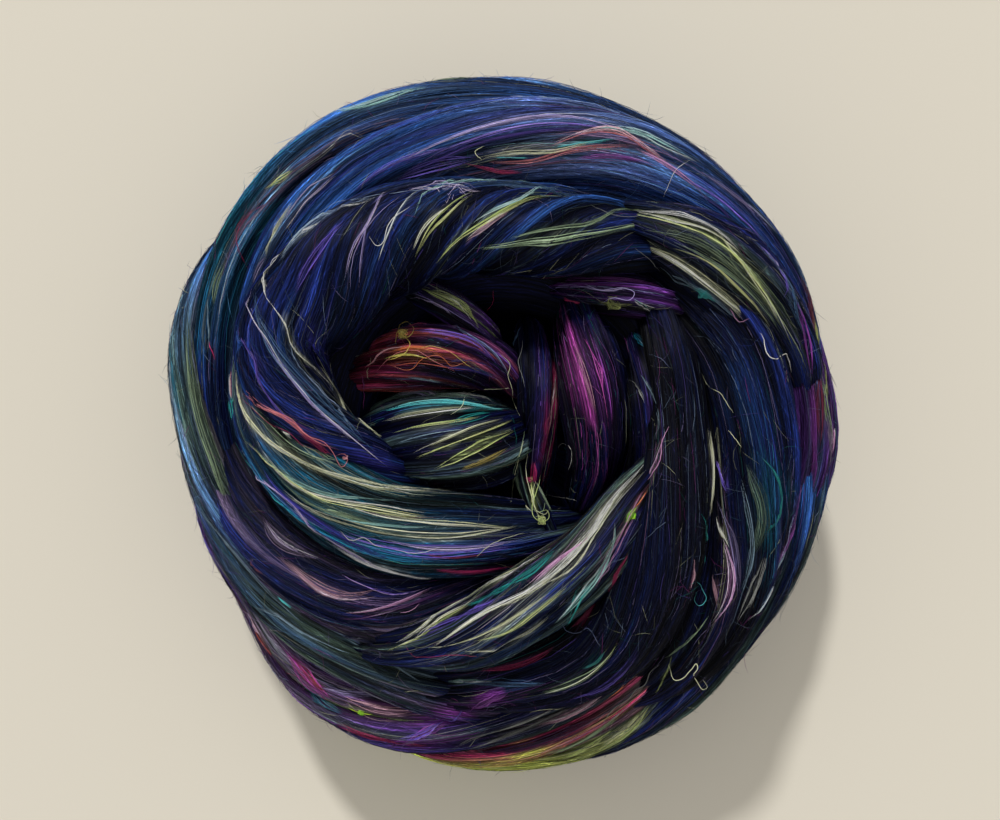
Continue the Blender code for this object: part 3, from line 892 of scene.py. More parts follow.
CROWN_COURSES = {
    "top_course": Course(120, ("plum", "navy", "navy", "dusk", "navy", "navy", "deep_navy"),
                        ("indigo", "deep_navy", "steel"), (
        Section(-4, 77, 46, 7, 8),
        Section(17, 77, 52, 8, 11),
        Section(36, 77, 57, 10, 13),
        Section(51, 76, 59, 10, 14),
        Section(67, 75, 60, 11, 15),
        Section(84, 73, 60, 12, 15),
        Section(102, 72, 60, 11, 14),
        Section(120, 72, 59, 10, 13),
        Section(138, 71, 56, 9, 11),
        Section(158, 70, 50, 6, 7),
    )),
    "lime_lobe": Course(-30, ("ink", "deep_navy", "ink", "deep_navy", "black"), ("moss", "ink"), (
        Section(3, 78.5, 48, 2, 4),
        Section(13, 76.5, 58, 6, 9),
        Section(25, 73, 64, 9, 12),
        Section(39, 69, 68, 10.5, 13),
        Section(52, 64.5, 67, 8, 11),
        Section(62, 61, 63, 5, 8),
        Section(71, 58, 57, 2.5, 5),
    )),
    # The right lobe faces away from the light too: its tints are partly its own dark navy, partly painted
    # shade.
    "right_lobe": Course(130, ("ink", "black", "ink", "deep_navy", "ink", "ink"), ("deep_navy", "black"), (
        Section(290, 75, 42, 3, 4),
        Section(303, 74, 49, 8, 10),
        Section(317, 71.5, 55, 10, 12.5),
        Section(332, 68, 58, 11, 14),
        Section(348, 64.5, 61, 11.5, 15),
        Section(364, 63.5, 62, 11, 15),
        Section(380, 64, 61, 10.5, 14),
        Section(398, 63, 58, 10, 12),
        Section(418, 60, 53, 5, 6),
    )),
    # The dark lobe faces away from the light: its near-black tints are the strand's own deep indigo,
    # darkened further as painted shade.
    "dark_lobe": Course(60, ("black", "ink", "black", "black", "black", "ink"), ("deep_navy", "black"), (
        Section(250, 66, 50, 6, 8),
        Section(271, 62, 56, 9, 12),
        Section(293, 60, 61, 11, 14),
        Section(313, 53.5, 64, 12, 15),
        Section(337, 47, 65, 11, 14),
        Section(361, 45.5, 63, 9, 12),
        Section(385, 48, 60, 8, 11),
        Section(408, 54, 53, 5, 7),
    )),
    "bright_lobe": Course(20, ("ink", "deep_navy", "deep_navy", "ink", "ink"), ("moss", "black"), (
        Section(232, 66, 54, 2, 4),
        Section(244, 59, 61, 6, 9),
        Section(257, 52.5, 65, 8.5, 12),
        Section(277, 44, 67, 10, 14),
        Section(306, 39, 67, 10, 14),
        Section(333, 39, 64, 9, 12),
        Section(358, 44, 61, 4, 7),
    )),
    "lower_left_lobe": Course(-10, ("ink", "deep_navy", "deep_navy", "deep_navy", "ink"),
                              ("mauve", "ink"), (
        Section(178, 73, 44, 6, 7),
        Section(198, 66, 52, 10, 12),
        Section(215, 60, 55, 11, 13),
        Section(235, 54, 56, 11, 13),
        Section(260, 45, 54, 10, 11),
        Section(294, 39, 48, 5, 6),
    )),
    "left_lobe": Course(-50, ("deep_navy", "deep_navy", "deep_teal", "deep_navy", "ink"), ("moss", "ink"), (
        Section(148, 68, 50, 6, 7),
        Section(160, 63.5, 57, 8.5, 10.5),
        Section(172, 59, 62, 10.5, 12.5),
        Section(187, 52, 64, 12, 14),
        Section(206, 42, 64, 12, 14),
        Section(236, 30, 62, 12, 13),
        Section(281, 27, 57, 9, 10),
        Section(318, 34, 48, 4, 5),
    )),
    # The crown lobe's first tint, black, is painted shadow where it starts beside the lime lobe.
    "crown_lobe": Course(((0, 0), (0.2, 70), (0.4, 210), (0.55, 285), (0.75, 325), (1, 375)),
                         ("black", "deep_navy", "deep_navy", "deep_navy", "deep_navy", "ink"),
                         ("navy", "black"), (
        Section(44, 62, 60, 3, 4),
        Section(57, 58, 66, 9, 10),
        Section(75, 52, 69, 12, 14),
        Section(97, 52, 71, 13, 15),
        Section(119, 55, 71, 14, 15),
        Section(140, 57, 71, 15, 15),
        Section(158, 58, 69, 13, 14),
        Section(172, 50, 67, 11, 13),
        Section(189, 36, 63, 8, 10),
        Section(216, 22, 55, 3, 5),
    )),
}

CROWN_STREAKS = {
    "top_course": (
        Streak("indigo", 9, ((320, 205), (355, 178), (400, 155), (500, 127)), 0.35),
        Streak("lilac", 2, ((330, 178), (305, 200), (285, 228)), 0.4),
        Streak("cream", 1.6, ((292, 206), (275, 236), (266, 258)), 0.8),
        Streak("lilac", 1.4, ((266, 258), (258, 270), (254, 282)), 0.7),
        Streak("violet", 3, ((355, 190), (390, 165), (440, 150)), 0.5),
        Streak("violet", 3, ((420, 166), (480, 141), (540, 129), (590, 129)), 0.8),
        Streak("lilac", 2, ((420, 152), (460, 135), (500, 123), (545, 115), (600, 124)), 0.7),
        Streak("violet", 3, ((400, 178), (440, 165), (470, 160)), 0.6),
        Streak("salmon", 2, ((500, 163), (530, 165), (560, 156), (600, 150), (625, 147)), 0.85),
        Streak("salmon", 2.6, ((560, 142), (590, 132), (615, 133), (640, 146), (662, 160)), 0.8),
        Streak("pink", 1.4, ((640, 150), (670, 166), (700, 190)), 0.7),
        Streak("crimson", 2, ((470, 165), (495, 171), (520, 172)), 0.7),
        Streak("cream", 2.2, ((485, 156), (515, 151), (555, 150), (590, 142)), 0.9),
        Streak("turquoise", 1.2, ((495, 156), (510, 156), (525, 157)), 0.8),
        Streak("turquoise", 1.2, ((550, 148), (580, 142), (615, 140)), 0.9),
        Streak("pale_teal", 1.8, ((600, 127), (640, 132), (668, 146), (690, 158)), 0.7),
        Streak("purple", 3, ((580, 160), (620, 157), (650, 164)), 0.6),
        Streak("blue", 12, ((540, 184), (620, 182), (690, 200), (745, 255)), 0.55),
        Streak("indigo", 6, ((610, 168), (660, 176), (700, 200)), 0.5),
        Streak("violet", 4, ((690, 180), (725, 200), (758, 235)), 0.7),
        Streak("lilac", 1.6, ((700, 172), (740, 200), (768, 226)), 0.6),
        Streak("pale_blue", 1.2, ((745, 202), (762, 218), (775, 232)), 0.6),
        Streak("wine", 3, ((800, 280), (807, 300), (812, 322), (816, 345)), 0.8),
        Streak("olive", 2, ((812, 318), (818, 338), (822, 360)), 0.7),
        Streak("steel", 2.4, ((780, 236), (795, 258), (806, 285), (814, 312)), 0.5),
    ),
    "lime_lobe": (
        Streak("cream", 2, ((642, 213), (665, 216), (688, 221), (712, 229), (735, 247)), 0.9),
        Streak("lime", 2.4, ((650, 218), (682, 226), (715, 240), (745, 268), (768, 298), (784, 328)), 0.8),
        Streak("cream", 1.6, ((725, 240), (745, 262), (765, 292), (778, 318)), 0.9),
        Streak("sage", 2.4, ((655, 232), (690, 240), (725, 262), (752, 292)), 0.5),
        Streak("cream", 1.8, ((645, 246), (662, 252), (685, 266), (710, 285), (735, 306), (755, 324)), 0.9),
        Streak("lime", 1.8, ((685, 252), (712, 264), (735, 285), (757, 308), (767, 322)), 0.9),
        Streak("sage", 3, ((680, 244), (705, 254), (735, 275), (760, 300), (774, 322)), 0.45),
        Streak("haze", 3, ((655, 262), (680, 276), (705, 292), (735, 318)), 0.4),
        Streak("teal", 1.8, ((688, 284), (700, 291), (716, 300)), 0.8),
        Streak("crimson", 1.4, ((678, 289), (688, 296), (700, 303)), 0.7),
        Streak("steel", 4, ((760, 248), (780, 272), (794, 300), (801, 330)), 0.6),
        Streak("violet", 3, ((765, 248), (778, 270), (787, 292)), 0.7),
        Streak("lilac", 1.6, ((775, 240), (787, 256), (795, 270)), 0.6),
        Streak("pale_blue", 1.2, ((780, 240), (792, 258), (800, 280)), 0.6),
        Streak("purple", 1.8, ((797, 305), (804, 325), (808, 345), (811, 372)), 0.7),
    ),
    "right_lobe": (
        Streak("navy", 14, ((735, 350), (745, 400), (750, 440)), 0.5),
        Streak("cream", 2, ((718, 518), (722, 532), (728, 545)), 0.85),
        Streak("pink", 2, ((726, 545), (732, 570), (731, 592), (724, 608), (714, 622)), 0.5),
        Streak("lilac", 1.6, ((720, 505), (730, 530), (737, 560), (738, 590)), 0.4),
        Streak("violet", 2, ((719, 462), (723, 476), (727, 490)), 0.8),
        Streak("deep_teal", 8, ((757, 450), (778, 475), (785, 498), (782, 522), (765, 550)), 0.8),
        Streak("teal", 2.4, ((762, 458), (778, 480), (780, 505), (768, 530)), 0.7),
        Streak("moss", 4, ((750, 470), (762, 498), (764, 525), (756, 550)), 0.8),
        Streak("haze", 2.4, ((744, 490), (750, 520), (752, 555), (742, 590)), 0.7),
        Streak("rose", 2, ((714, 578), (718, 590), (718, 604)), 0.6),
        Streak("sage", 1.6, ((708, 618), (690, 640), (668, 657)), 0.5),
        Streak("pale_blue", 2, ((792, 520), (786, 550), (772, 588), (756, 615)), 0.5),
        Streak("grey", 1.6, ((762, 560), (752, 590), (738, 618)), 0.5),
        Streak("purple", 2.4, ((812, 495), (810, 508), (806, 524), (800, 546), (792, 572)), 0.8),
        Streak("deep_teal", 8, ((772, 470), (774, 510), (766, 550)), 0.6),
        Streak("lime", 1.4, ((672, 660), (666, 674), (656, 692)), 0.9),
    ),
    "dark_lobe": (
        Streak("deep_navy", 12, ((640, 440), (650, 520), (640, 590), (600, 640)), 0.6),
        Streak("cream", 1.8, ((708, 436), (710, 455), (712, 480), (713, 502), (716, 516)), 0.85),
        Streak("teal", 1.4, ((705, 520), (705, 540), (703, 560)), 0.6),
        Streak("sage", 2.6, ((548, 690), (575, 682), (598, 668), (612, 652)), 0.8),
        Streak("lime", 1.2, ((550, 692), (578, 682), (600, 666), (613, 650)), 0.7),
        Streak("teal", 1.6, ((583, 666), (595, 660), (603, 652)), 0.6),
        Streak("violet", 1.4, ((575, 696), (600, 686), (625, 666), (640, 650)), 0.4),
        Streak("rose", 1.4, ((693, 560), (692, 572), (689, 586)), 0.6),
        Streak("steel", 4, ((460, 680), (500, 684), (540, 684)), 0.5),
        Streak("pale_teal", 2, ((452, 681), (470, 682), (490, 682)), 0.4),
        Streak("purple", 8, ((466, 709), (484, 702), (506, 693)), 0.8),
        Streak("purple", 3, ((472, 706), (488, 700), (504, 694)), 0.6),
        Streak("crimson", 1.6, ((480, 669), (512, 666), (550, 650)), 0.4),
        Streak("crimson", 1.6, ((572, 628), (584, 618), (595, 607)), 0.7),
        Streak("pink", 2, ((650, 478), (658, 462), (663, 440)), 0.8),
        Streak("haze", 2, ((658, 408), (659, 422), (657, 438)), 0.8),
    ),
    "bright_lobe": (
        Streak("navy", 6, ((450, 652), (500, 648), (545, 625)), 0.7),
        Streak("ink", 5, ((352, 642), (376, 648), (402, 650)), 0.9),
        Streak("cream", 2.2, ((410, 636), (430, 622), (452, 607), (475, 595), (500, 579), (522, 567),
                              (545, 554)), 0.95),
        Streak("lime", 1.4, ((392, 650), (412, 642), (445, 620), (470, 605)), 0.8),
        Streak("teal", 3.6, ((474, 605), (500, 590), (525, 575), (548, 557)), 0.95),
        Streak("pink", 1.8, ((535, 582), (555, 566), (578, 548), (590, 538)), 0.8),
        Streak("violet", 2.4, ((425, 634), (450, 623), (475, 608), (505, 597)), 0.7),
        Streak("cream", 2.2, ((440, 642), (455, 632), (480, 615), (510, 603), (540, 586),
                              (568, 562)), 0.95),
        Streak("cream", 3.4, ((520, 596), (550, 577), (575, 556), (595, 530), (612, 502), (630, 482)), 0.9),
        Streak("white", 1.8, ((545, 582), (570, 560), (590, 535), (605, 512), (622, 490)), 0.9),
        Streak("cream", 1.8, ((440, 647), (470, 641), (495, 630), (520, 614), (545, 597)), 0.9),
        Streak("cream", 1.6, ((462, 650), (500, 645), (522, 636), (545, 620)), 0.8),
        Streak("lime", 1.6, ((480, 640), (510, 630), (535, 612), (560, 592)), 0.8),
        Streak("pale_teal", 2.6, ((560, 618), (588, 588), (605, 562), (613, 535)), 0.85),
        Streak("teal", 2, ((556, 622), (575, 604), (592, 580)), 0.7),
        Streak("pink", 1.8, ((598, 578), (615, 545), (628, 520), (640, 495)), 0.8),
        Streak("crimson", 1.6, ((602, 598), (613, 581), (626, 556)), 0.7),
        Streak("bright_lime", 2.4, ((627, 522), (632, 515), (637, 508)), 0.9),
        Streak("orange", 1.4, ((634, 508), (640, 500), (645, 492)), 0.6),
        Streak("indigo", 3, ((610, 570), (630, 535), (643, 508)), 0.6),
    ),
    "lower_left_lobe": (
        Streak("mauve", 4, ((265, 520), (275, 536), (292, 548), (312, 556)), 0.7),
        Streak("lilac", 2, ((268, 526), (278, 538), (292, 548), (312, 556)), 0.6),
        Streak("rose", 3, ((288, 562), (305, 576), (322, 588), (345, 594), (368, 592)), 0.7),
        Streak("rose", 1.6, ((300, 575), (320, 590), (345, 600), (370, 598)), 0.6),
        Streak("violet", 2, ((345, 578), (370, 590), (395, 596), (420, 590)), 0.45),
        Streak("purple", 2, ((345, 618), (370, 615), (400, 607), (425, 598), (450, 590)), 0.6),
        Streak("pink", 1.2, ((350, 612), (378, 608), (405, 600), (430, 590)), 0.7),
        Streak("mauve", 4, ((365, 625), (390, 630), (415, 620)), 0.6),
        Streak("ink", 5, ((262, 500), (285, 530), (320, 562), (350, 575)), 0.6),
        Streak("ink", 5, ((340, 638), (368, 645), (400, 648)), 0.9),
        Streak("cream", 2, ((376, 637), (390, 640), (404, 640)), 0.9),
        Streak("turquoise", 1.2, ((280, 596), (285, 600), (291, 606)), 0.6),
        Streak("salmon", 1.2, ((252, 560), (257, 566), (263, 573)), 0.6),
    ),
    "left_lobe": (
        Streak("moss", 7, ((262, 462), (300, 492), (350, 508), (420, 516)), 0.45),
        Streak("cream", 2.4, ((238, 362), (237, 380), (241, 400), (249, 418), (266, 438), (290, 454),
                              (314, 467), (345, 478))),
        Streak("cream", 2, ((314, 467), (345, 478), (375, 486), (410, 490), (450, 492))),
        Streak("pale_teal", 1.6, ((262, 455), (285, 475), (312, 488), (345, 497), (385, 500)), 0.85),
        Streak("cream", 1.6, ((272, 466), (290, 484), (318, 497), (350, 504), (385, 508),
                              (412, 512)), 0.85),
        Streak("lime", 1.6, ((300, 488), (320, 500), (348, 508), (380, 513), (420, 518)), 0.8),
        Streak("sage", 2.4, ((285, 484), (305, 500), (335, 512), (380, 524)), 0.8),
        Streak("cream", 2.2, ((298, 502), (318, 514), (350, 525), (382, 532), (412, 536), (455, 537),
                              (500, 530))),
        Streak("cream", 1.8, ((335, 500), (370, 512), (402, 519), (450, 524), (500, 528))),
        Streak("pale_teal", 1.6, ((298, 496), (330, 514), (370, 524), (420, 528)), 0.8),
        Streak("lilac", 2, ((255, 470), (275, 490), (304, 518), (328, 538), (352, 554), (378, 567))),
        Streak("white", 1.4, ((340, 548), (365, 561), (392, 570), (428, 578)), 0.8),
        Streak("lime", 1.4, ((255, 448), (275, 468), (298, 486), (325, 500)), 0.8),
        Streak("violet", 3, ((350, 536), (390, 548), (440, 554), (500, 548)), 0.45),
        Streak("indigo", 5, ((270, 480), (300, 512), (340, 538), (380, 556)), 0.6),
        Streak("crimson", 1.2, ((420, 552), (450, 557), (482, 555)), 0.6),
        Streak("crimson", 2, ((440, 569), (475, 572), (510, 566)), 0.4),
        Streak("lilac", 1.6, ((395, 541), (430, 545), (470, 546), (515, 540)), 0.8),
        Streak("ink", 5, ((500, 556), (530, 556), (560, 548)), 0.7),
        Streak("sage", 4, ((252, 405), (272, 425), (300, 448), (330, 462)), 0.4),
        Streak("salmon", 1.2, ((226, 372), (228, 384), (225, 397)), 0.6),
        Streak("teal", 3, ((219, 400), (221, 408), (222, 415)), 0.5),
    ),
    "crown_lobe": (
        Streak("indigo", 8, ((300, 290), (310, 330), (330, 370), (355, 400)), 0.3),
        Streak("steel", 5, ((258, 296), (264, 325), (284, 356), (308, 384), (335, 412), (360, 440)), 0.6),
        Streak("blue", 2, ((238, 326), (238, 340), (240, 354)), 0.4),
        Streak("cream", 1.3, ((353, 207), (297, 230), (273, 253), (267, 272), (270, 294), (287, 330),
                              (313, 366), (334, 388)), 0.8),
        Streak("cream", 1.6, ((325, 376), (343, 397), (360, 417), (380, 437), (407, 459)), 0.9),
        Streak("pale_blue", 1.4, ((290, 350), (304, 374), (322, 394), (338, 412), (352, 432)), 0.8),
        Streak("pale_blue", 1.4, ((370, 200), (350, 203), (330, 212), (310, 223), (294, 237),
                                  (282, 258)), 0.8),
        Streak("lilac", 1.5, ((250, 300), (257, 318), (272, 348), (288, 372), (308, 396), (328, 418),
                              (350, 436), (374, 456))),
        Streak("violet", 1.6, ((245, 324), (250, 346), (258, 376), (272, 400), (290, 420)), 0.8),
        Streak("violet", 2, ((342, 224), (318, 248), (304, 270), (295, 290)), 0.7),
        Streak("lilac", 1.2, ((400, 192), (372, 215), (355, 240), (345, 275)), 0.4),
        Streak("lilac", 1, ((380, 202), (365, 235), (358, 280)), 0.35),
        Streak("pale_blue", 1.2, ((420, 192), (395, 220), (380, 255)), 0.5),
        Streak("lime", 2.2, ((466, 197), (446, 213), (430, 229), (418, 250)), 0.95),
        Streak("cream", 1.8, ((446, 208), (428, 224), (414, 246)), 0.85),
        Streak("lime", 2, ((548, 196), (520, 203), (500, 213), (480, 224), (460, 236), (442, 254)), 0.95),
        Streak("pale_teal", 1.6, ((556, 190), (525, 198), (500, 208), (478, 220)), 0.8),
        Streak("rose", 1.6, ((505, 213), (485, 226), (468, 238)), 0.8),
        Streak("pale_teal", 2, ((418, 200), (436, 189), (458, 182), (488, 180), (520, 182)), 0.7),
        Streak("lilac", 3, ((415, 190), (445, 188), (475, 192)), 0.5),
        Streak("steel", 5, ((480, 186), (520, 186), (560, 192), (600, 200)), 0.6),
        Streak("sage", 3, ((650, 226), (610, 230), (570, 236), (530, 240), (490, 246)), 0.7),
        Streak("sage", 2, ((640, 218), (600, 222), (560, 228), (520, 236)), 0.7),
        # This ink streak is painted shade, where the crown lobe slopes away from the light into the hollow.
        Streak("ink", 6, ((640, 258), (560, 262), (480, 262)), 0.6),
        Streak("salmon", 1.6, ((246, 392), (256, 402), (274, 412), (294, 422), (310, 438),
                               (328, 446)), 0.7),
        Streak("crimson", 1.6, ((300, 432), (320, 448), (345, 462)), 0.6),
        Streak("cream", 1.2, ((270, 418), (288, 430), (306, 450)), 0.6),
        Streak("indigo", 6, ((345, 440), (375, 462), (400, 474)), 0.7),
    ),
}

crown_strands = wind_all(CROWN_COURSES, CROWN_STREAKS, course_rows, under=0.3, first_seed=300)
crown_turns = add_body("crown_turns", crown_strands, row_step=2.4, lanes=108)


# ------------------------------------------------------------------- the filling and the tucked ends
# The hollow is filled by the first turns, painted near black at its bottom as shade. The strand's
# last length is tucked across it in short bundles, where silk of other colours comes up.

# The filling is a ring of wool, with its half thickness, its distance from the axis and its height, and
# an upright plug in the middle, with its greatest half breadth, its top and its bottom.
FILLING_RADIUS = 24.0
FILLING_PLACE = 52.0
FILLING_HEIGHT = 37.0
PLUG_RADIUS = 44.0
PLUG_TOP = 53.0
PLUG_BOTTOM = 0.2

# A section of a tucked end in the hollow, by its place instead of its angle.
Tuck = namedtuple("Tuck", "x y height half_width half_thick")

TUCKED_ENDS = {
    "orange_tuck": Course(-120, ("black", "wine", "ink", "plum", "ink"), ("rust", "ink"), (
        Tuck(-42, 14, 47, 4, 6),
        Tuck(-30, 18, 55, 7.5, 9),
        Tuck(-16, 20, 59, 9, 11),
        Tuck(-3, 18, 55, 8, 9),
        Tuck(8, 11, 47, 4, 6),
    )),
    "teal_tuck": Course(100, ("black", "ink", "ink", "black"), ("moss", "black"), (
        Tuck(-37, -0.5, 45, 6.5, 7),
        Tuck(-25, -0.5, 54, 12, 12.5),
        Tuck(-12, -1.5, 58, 13.5, 13.5),
        Tuck(0, -1.5, 54, 11.5, 11.5),
        Tuck(10, 0, 45, 5.5, 6),
    )),
    "red_tuck": Course(-80, ("black", "ink", "ink", "ink"), ("deep_navy", "plum"), (
        Tuck(7, 31, 45, 4, 6),
        Tuck(9, 18, 53, 6, 10),
        Tuck(10, 6, 56, 6, 11),
        Tuck(10, -5, 53, 5, 9),
        Tuck(9, -19, 45, 3, 5),
    )),
    "magenta_tuck": Course(70, ("black", "ink", "ink", "ink", "black"), ("plum", "ink"), (
        Tuck(19, 37, 46, 5, 7),
        Tuck(21.5, 23, 57, 8.5, 12),
        Tuck(24, 9, 61, 9.5, 13),
        Tuck(24.5, -5, 57, 8, 11),
        Tuck(20, -20, 46, 4, 6),
    )),
    "violet_tuck": Course(150, ("black", "ink", "ink", "black"), ("deep_navy", "plum"), (
        Tuck(37, 36, 44, 5, 7),
        Tuck(39, 21, 53, 8, 12),
        Tuck(39, 6, 56, 8, 12),
        Tuck(37, -7, 53, 7, 10),
        Tuck(28, -20, 45, 4, 6),
    )),
    "end_tuft": Course(-100, ("ink", "black", "ink"), ("moss", "ink"), (
        Tuck(4, 1, 49, 2, 4),
        Tuck(6.5, -12, 55, 2.6, 6),
        Tuck(11, -22, 56, 3.4, 6),
        Tuck(15, -29, 50, 2, 4),
    )),
    "purple_tuft": Course(20, ("ink", "ink", "plum", "ink"), ("purple", "ink"), (
        Tuck(12, 38, 50, 3, 6),
        Tuck(26, 36, 57, 6, 9),
        Tuck(40, 34, 58, 6, 9),
        Tuck(51, 31, 53, 4, 6),
    )),
    "pale_tuft": Course(60, ("ink", "ink", "plum", "ink"), ("moss", "ink"), (
        Tuck(-29, 41, 49, 4, 6),
        Tuck(-18, 36, 56, 5, 9),
        Tuck(-8, 29, 56, 5, 9),
        Tuck(0, 22, 49, 3, 5),
    )),
}

TUCK_STREAKS = {
    "orange_tuck": (
        Streak("slate", 2.4, ((408, 326), (440, 330), (470, 338), (494, 354), (506, 372)), 0.6),
        Streak("violet", 1.6, ((415, 333), (445, 336), (472, 344), (492, 360)), 0.5),
        Streak("salmon", 1.6, ((366, 366), (380, 354), (400, 347)), 0.6),
        Streak("orange", 2.4, ((392, 352), (415, 349), (440, 354)), 0.6),
        Streak("rust", 3, ((380, 362), (410, 358), (450, 362), (480, 370)), 0.7),
        Streak("crimson", 1.6, ((430, 352), (458, 352), (480, 362)), 0.5),
        Streak("gold", 1, ((388, 358), (410, 355), (432, 360)), 0.6),
        Streak("indigo", 4, ((440, 366), (470, 368), (498, 378)), 0.6),
        Streak("haze", 1.4, ((405, 376), (430, 380), (452, 384)), 0.5),
    ),
    "teal_tuck": (
        Streak("lilac", 2, ((398, 390), (428, 388), (452, 392)), 0.7),
        Streak("turquoise", 2.2, ((393, 409), (420, 405), (445, 404), (470, 406), (502, 411)), 0.95),
        Streak("cream", 1, ((390, 420), (420, 413), (448, 409), (470, 408)), 0.7),
        Streak("lime", 1, ((398, 432), (425, 428), (452, 424), (475, 419)), 0.7),
        Streak("cream", 1, ((418, 449), (445, 438), (478, 425), (500, 420)), 0.7),
        Streak("lime", 1, ((424, 455), (450, 444), (480, 434), (505, 424)), 0.6),
        Streak("lime", 1.6, ((438, 466), (462, 455), (486, 443), (510, 431)), 0.9),
        Streak("gold", 1.3, ((462, 470), (482, 462), (506, 450)), 0.8),
        Streak("teal", 3, ((455, 424), (472, 418), (490, 414)), 0.7),
        Streak("grey", 1.4, ((402, 400), (430, 398), (460, 396), (490, 400)), 0.5),
        Streak("haze", 1, ((400, 442), (430, 434), (462, 430)), 0.5),
        Streak("moss", 5, ((392, 398), (430, 396), (476, 400)), 0.6),
    ),
    "red_tuck": (
        Streak("crimson", 6, ((557, 358), (553, 385), (550, 410), (547, 440), (545, 464)), 1.0),
        Streak("wine", 2, ((555, 372), (551, 395), (548, 425), (546, 455)), 0.6),
        Streak("salmon", 0.8, ((555, 372), (551, 400), (548, 430)), 0.4),
        Streak("crimson", 3, ((534, 464), (532, 482), (527, 498)), 0.9),
        Streak("steel", 1.6, ((520, 330), (518, 350), (520, 375)), 0.5),
    ),
    "magenta_tuck": (
        Streak("magenta", 7, ((568, 322), (574, 348), (582, 378), (592, 406), (600, 434)), 0.9),
        Streak("purple", 3, ((590, 330), (602, 360), (610, 390), (612, 420)), 0.3),
        Streak("rose", 2.4, ((576, 350), (583, 372), (590, 394), (595, 412)), 0.35),
        Streak("magenta", 3, ((588, 345), (598, 370), (604, 396), (606, 425)), 0.5),
    ),
    "violet_tuck": (
        Streak("deep_teal", 3, ((634, 332), (645, 345), (655, 352)), 0.8),
        Streak("haze", 2, ((642, 378), (649, 389), (654, 402)), 0.8),
        Streak("grey", 1.2, ((633, 380), (640, 390), (645, 400)), 0.6),
    ),
    "end_tuft": (
        Streak("sage", 1, ((523, 430), (520, 450), (515, 470), (513, 498)), 0.6),
        Streak("lime", 2.4, ((531, 474), (534, 496), (538, 516)), 0.9),
        Streak("sage", 2, ((540, 474), (546, 494), (552, 510)), 0.7),
        Streak("moss", 4, ((520, 440), (516, 470), (520, 500)), 0.7),
        Streak("cream", 1.4, ((524, 500), (534, 512), (542, 520)), 0.7),
    ),
    "purple_tuft": (
        Streak("purple", 2.4, ((562, 280), (590, 278), (625, 280), (658, 286)), 0.6),
        Streak("lilac", 1.4, ((584, 287), (604, 290), (626, 288)), 0.7),
        Streak("olive", 2.4, ((602, 302), (616, 305), (630, 304)), 0.8),
        Streak("crimson", 2, ((564, 298), (574, 301), (584, 303)), 0.6),
        Streak("pale_teal", 1.2, ((636, 300), (646, 306), (656, 310)), 0.6),
    ),
    "pale_tuft": (
        Streak("lime", 2, ((426, 291), (450, 302), (466, 312), (477, 324)), 0.9),
        Streak("lilac", 2, ((416, 297), (436, 303), (450, 312)), 0.8),
        Streak("cream", 1.2, ((440, 296), (458, 306), (470, 318)), 0.7),
    ),
}


def tuck_rows(sections):
    """A tucked end's middle line, which faces straight up, its two half sizes and its length."""
    rows = np.array(sections, float)
    rows, length = evenly_along(length_along(rows[:, :3]), rows, lambda read: read[:, :3])
    return rows[:, :3], np.tile((0.0, 0.0, 1.0), (len(rows), 1)), rows[:, 3:5], length


tuck_strands = wind_all(TUCKED_ENDS, TUCK_STREAKS, tuck_rows, under=0.3, first_seed=400)
tucked_ends = add_body("tucked_ends", tuck_strands, row_step=1.6, lanes=56)

# The filling and the plug are ink and black: painted shade, deep in the hollow where little light reaches.
FILLING_COURSE = Course(0, ("ink", "black"), ("black",), tuple(
    Section(angle, FILLING_PLACE, FILLING_HEIGHT, FILLING_RADIUS, FILLING_RADIUS)
    for angle in (0, 200, 400)
))
PLUG_COURSE = Course(0, ("ink", "black"), ("black",), (
    Tuck(0, 0, PLUG_BOTTOM, 6, 6),
    Tuck(0, 0, 6, 30, 30),
    Tuck(0, 0, 26, PLUG_RADIUS, PLUG_RADIUS),
    Tuck(0, 0, 46, 22, 22),
    Tuck(0, 0, PLUG_TOP, 4, 4),
))


def plug_rows(sections):
    """The plug's upright middle line, which faces the y axis, its two half sizes and its length."""
    points, _, halves, length = tuck_rows(sections)
    return points, np.tile((0.0, 1.0, 0.0), (len(points), 1)), halves, length


filling_strands = wind_all({"filling": FILLING_COURSE}, {}, course_rows, under=0.5, first_seed=500)
filling_strands += wind_all({"plug": PLUG_COURSE}, {}, plug_rows, under=0.5, first_seed=501)
filling = add_body("filling", filling_strands, row_step=5.0, lanes=48)


# -------------------------------------------------------------------------------- the wool's fibres
# The combed fibres lie over each other along the strand, a few layers deep, and catch the light one by
# one. Each is a thin closed thread that keeps its lane with a little wander.

ALL_STRANDS = low_strands + outer_strands + crown_strands + tuck_strands

# A fibre's points along it and sides round it. Its radius is this share at its tips, grows by this
# much of a half sine, and stops at the full radius.
FIBRE_POINTS = 7
FIBRE_SIDES = 3
TIP_RADIUS = 0.12
TIP_GROWTH = 1.4

# A point is inside a strand within this share of its half sizes, squared, and this far along it.
BURIED_SHARE = 0.85
BURIED_ABREAST = 3.0

# The odd fibres that the blend holds everywhere, with their shares of the count. The pale ones stand
# in partly for glints of light on single fibres: painted highlights.
ODD_AND_GLINT_FIBRES = {"steel": 0.2, "haze": 0.2, "pale_blue": 0.18, "lilac": 0.12, "violet": 0.1,
              "teal": 0.06, "cream": 0.08, "magenta": 0.06}

# How far a fibre runs, how thick a plain one and an odd one is, and how high they lie, in millimetres.
FIBRE_RUN = (25, 60)
FIBRE_RADIUS = (0.03, 0.07)
ODD_RADIUS = (0.02, 0.04)
FIBRE_LIFT = (0.0, 0.35)

